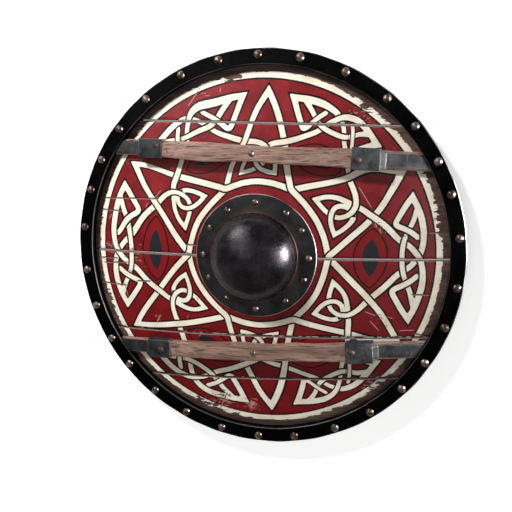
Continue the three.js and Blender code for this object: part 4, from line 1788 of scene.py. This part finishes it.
@dataclass(frozen=True)
class Lamp:
    """One soft rectangular light, and which kind of light it leaves out."""

    name: str
    spot: tuple
    aim: tuple
    size: tuple
    watts: float
    leaves_out: str

    def hang(self) -> None:
        """Adds the light to the scene, turned to its aim."""
        data = bpy.data.lights.new(self.name, "AREA")
        data.shape = "RECTANGLE"
        data.size, data.size_y = self.size
        data.energy = self.watts
        lamp = bpy.data.objects.new(self.name, data)
        bpy.context.scene.collection.objects.link(lamp)
        lamp.location = self.spot
        lamp.rotation_euler = (Vector(self.aim) - Vector(self.spot)).to_track_quat("-Z", "Y").to_euler()
        setattr(lamp, f"visible_{self.leaves_out}", False)


@dataclass
class Studio:
    """The pale floor, the soft lights and the camera. Places are in metres."""

    spot: tuple = (0.29508, 0.18374, 1.15899)
    right: tuple = (0.96703502, -0.0205341, -0.25381413)
    up: tuple = (-0.02072905, 0.98708745, -0.15883539)
    back: tuple = (0.25379828, 0.15886071, 0.95412248)
    lens: float = 43.3125
    film: float = 36.0
    floor_size: float = 12.0
    floor_drop: float = 0.0005
    sky: tuple = (0.98, 1.0, 0.93, 1.0)
    sky_strength: float = 0.15
    lamps: tuple = (
        Lamp("key_light", (-0.95, 1.65, 1.25), (0.0, 0.0, 0.03), (0.36, 0.26), 66.0, "glossy"),
        Lamp("window_light", (-1.2, 1.45, 1.2), (0.0, 0.0, 0.08), (0.8, 0.8), 20.0, "diffuse"),
        Lamp("overhead_light", (-0.8, 0.75, 1.9), (0.0, 0.0, 0.03), (1.1, 1.1), 7.0, "diffuse"),
        Lamp("low_light", (0.1, -1.1, 1.7), (0.0, 0.0, 0.03), (1.2, 0.8), 9.0, "glossy"),
        Lamp("side_light", (1.45, 0.1, 0.55), (0.0, 0.0, 0.08), (0.36, 0.46), 64.0, "diffuse"),
    )

    def camera(self) -> None:
        """The photograph's camera."""
        data = bpy.data.cameras.new("Camera")
        data.lens = self.lens
        data.sensor_width = self.film
        data.clip_start = 0.05
        camera = bpy.data.objects.new("Camera", data)
        bpy.context.scene.collection.objects.link(camera)
        turn = Matrix((self.right, self.up, self.back)).transposed().to_4x4()
        camera.matrix_world = Matrix.Translation(self.spot) @ turn
        bpy.context.scene.camera = camera

    def build(self, finishes: Finishes) -> None:
        """Sets up the studio."""
        self.camera()
        put_down()
        bpy.ops.mesh.primitive_plane_add(size=self.floor_size, location=(0.0, 0.0, -self.floor_drop))
        floor = added("studio_floor")
        set_in_place(floor)
        finishes.dress(floor, Finish.FLOOR)
        for lamp in self.lamps:
            lamp.hang()
        world = bpy.data.worlds.new("Studio sky")
        bpy.context.scene.world = world
        world.use_nodes = True
        world.node_tree.nodes["Background"].inputs[0].default_value = self.sky
        world.node_tree.nodes["Background"].inputs[1].default_value = self.sky_strength
        bpy.context.scene.view_settings.view_transform = "Standard"


def main() -> None:
    """Builds the shield and its studio."""
    logging.basicConfig(level=logging.INFO, format="%(name)s: %(message)s")
    finishes = Finishes()
    Studio().build(finishes)
    board = Board()
    board.build(finishes)
    head = rivet_head()
    Rim().build(board, finishes, head)
    Boss().build(board, finishes, head)
    battens = (
        Batten("top", 189.5, -4.0, 179.5, -13.4, (
            (-350, -15.5, 15.5), (-193, -15.2, 15.6), (-101, -20, 16.5), (-53, -16.5, 14.6),
            (-13, -14.6, 14.2), (47, -17, 14.4), (107, -15.5, 15.6), (165, -16.8, 17.4), (350, -16, 16),
        ), rivet_drift=((11.5, 6.6), (13.0, -2.0))),
        Batten("bottom", -185.0, 2.25, 174.5, -12.5, (
            (-350, -16, 16), (-186, -15.6, 15.4), (-108, -16.6, 15), (-38, -17.6, 16.6), (22, -16.6, 13.2),
            (62, -16.4, 17.2), (102, -16.6, 14.6), (162, -17.4, 17.2), (350, -16, 16),
        ), rivet_drift=((4.6, -0.7), (13.0, 2.0))),
    )
    for batten in battens:
        batten.build(board, finishes, head)
    Grip().build(board, finishes, head)
    scrap(head)


if __name__ == "__main__":
    main()
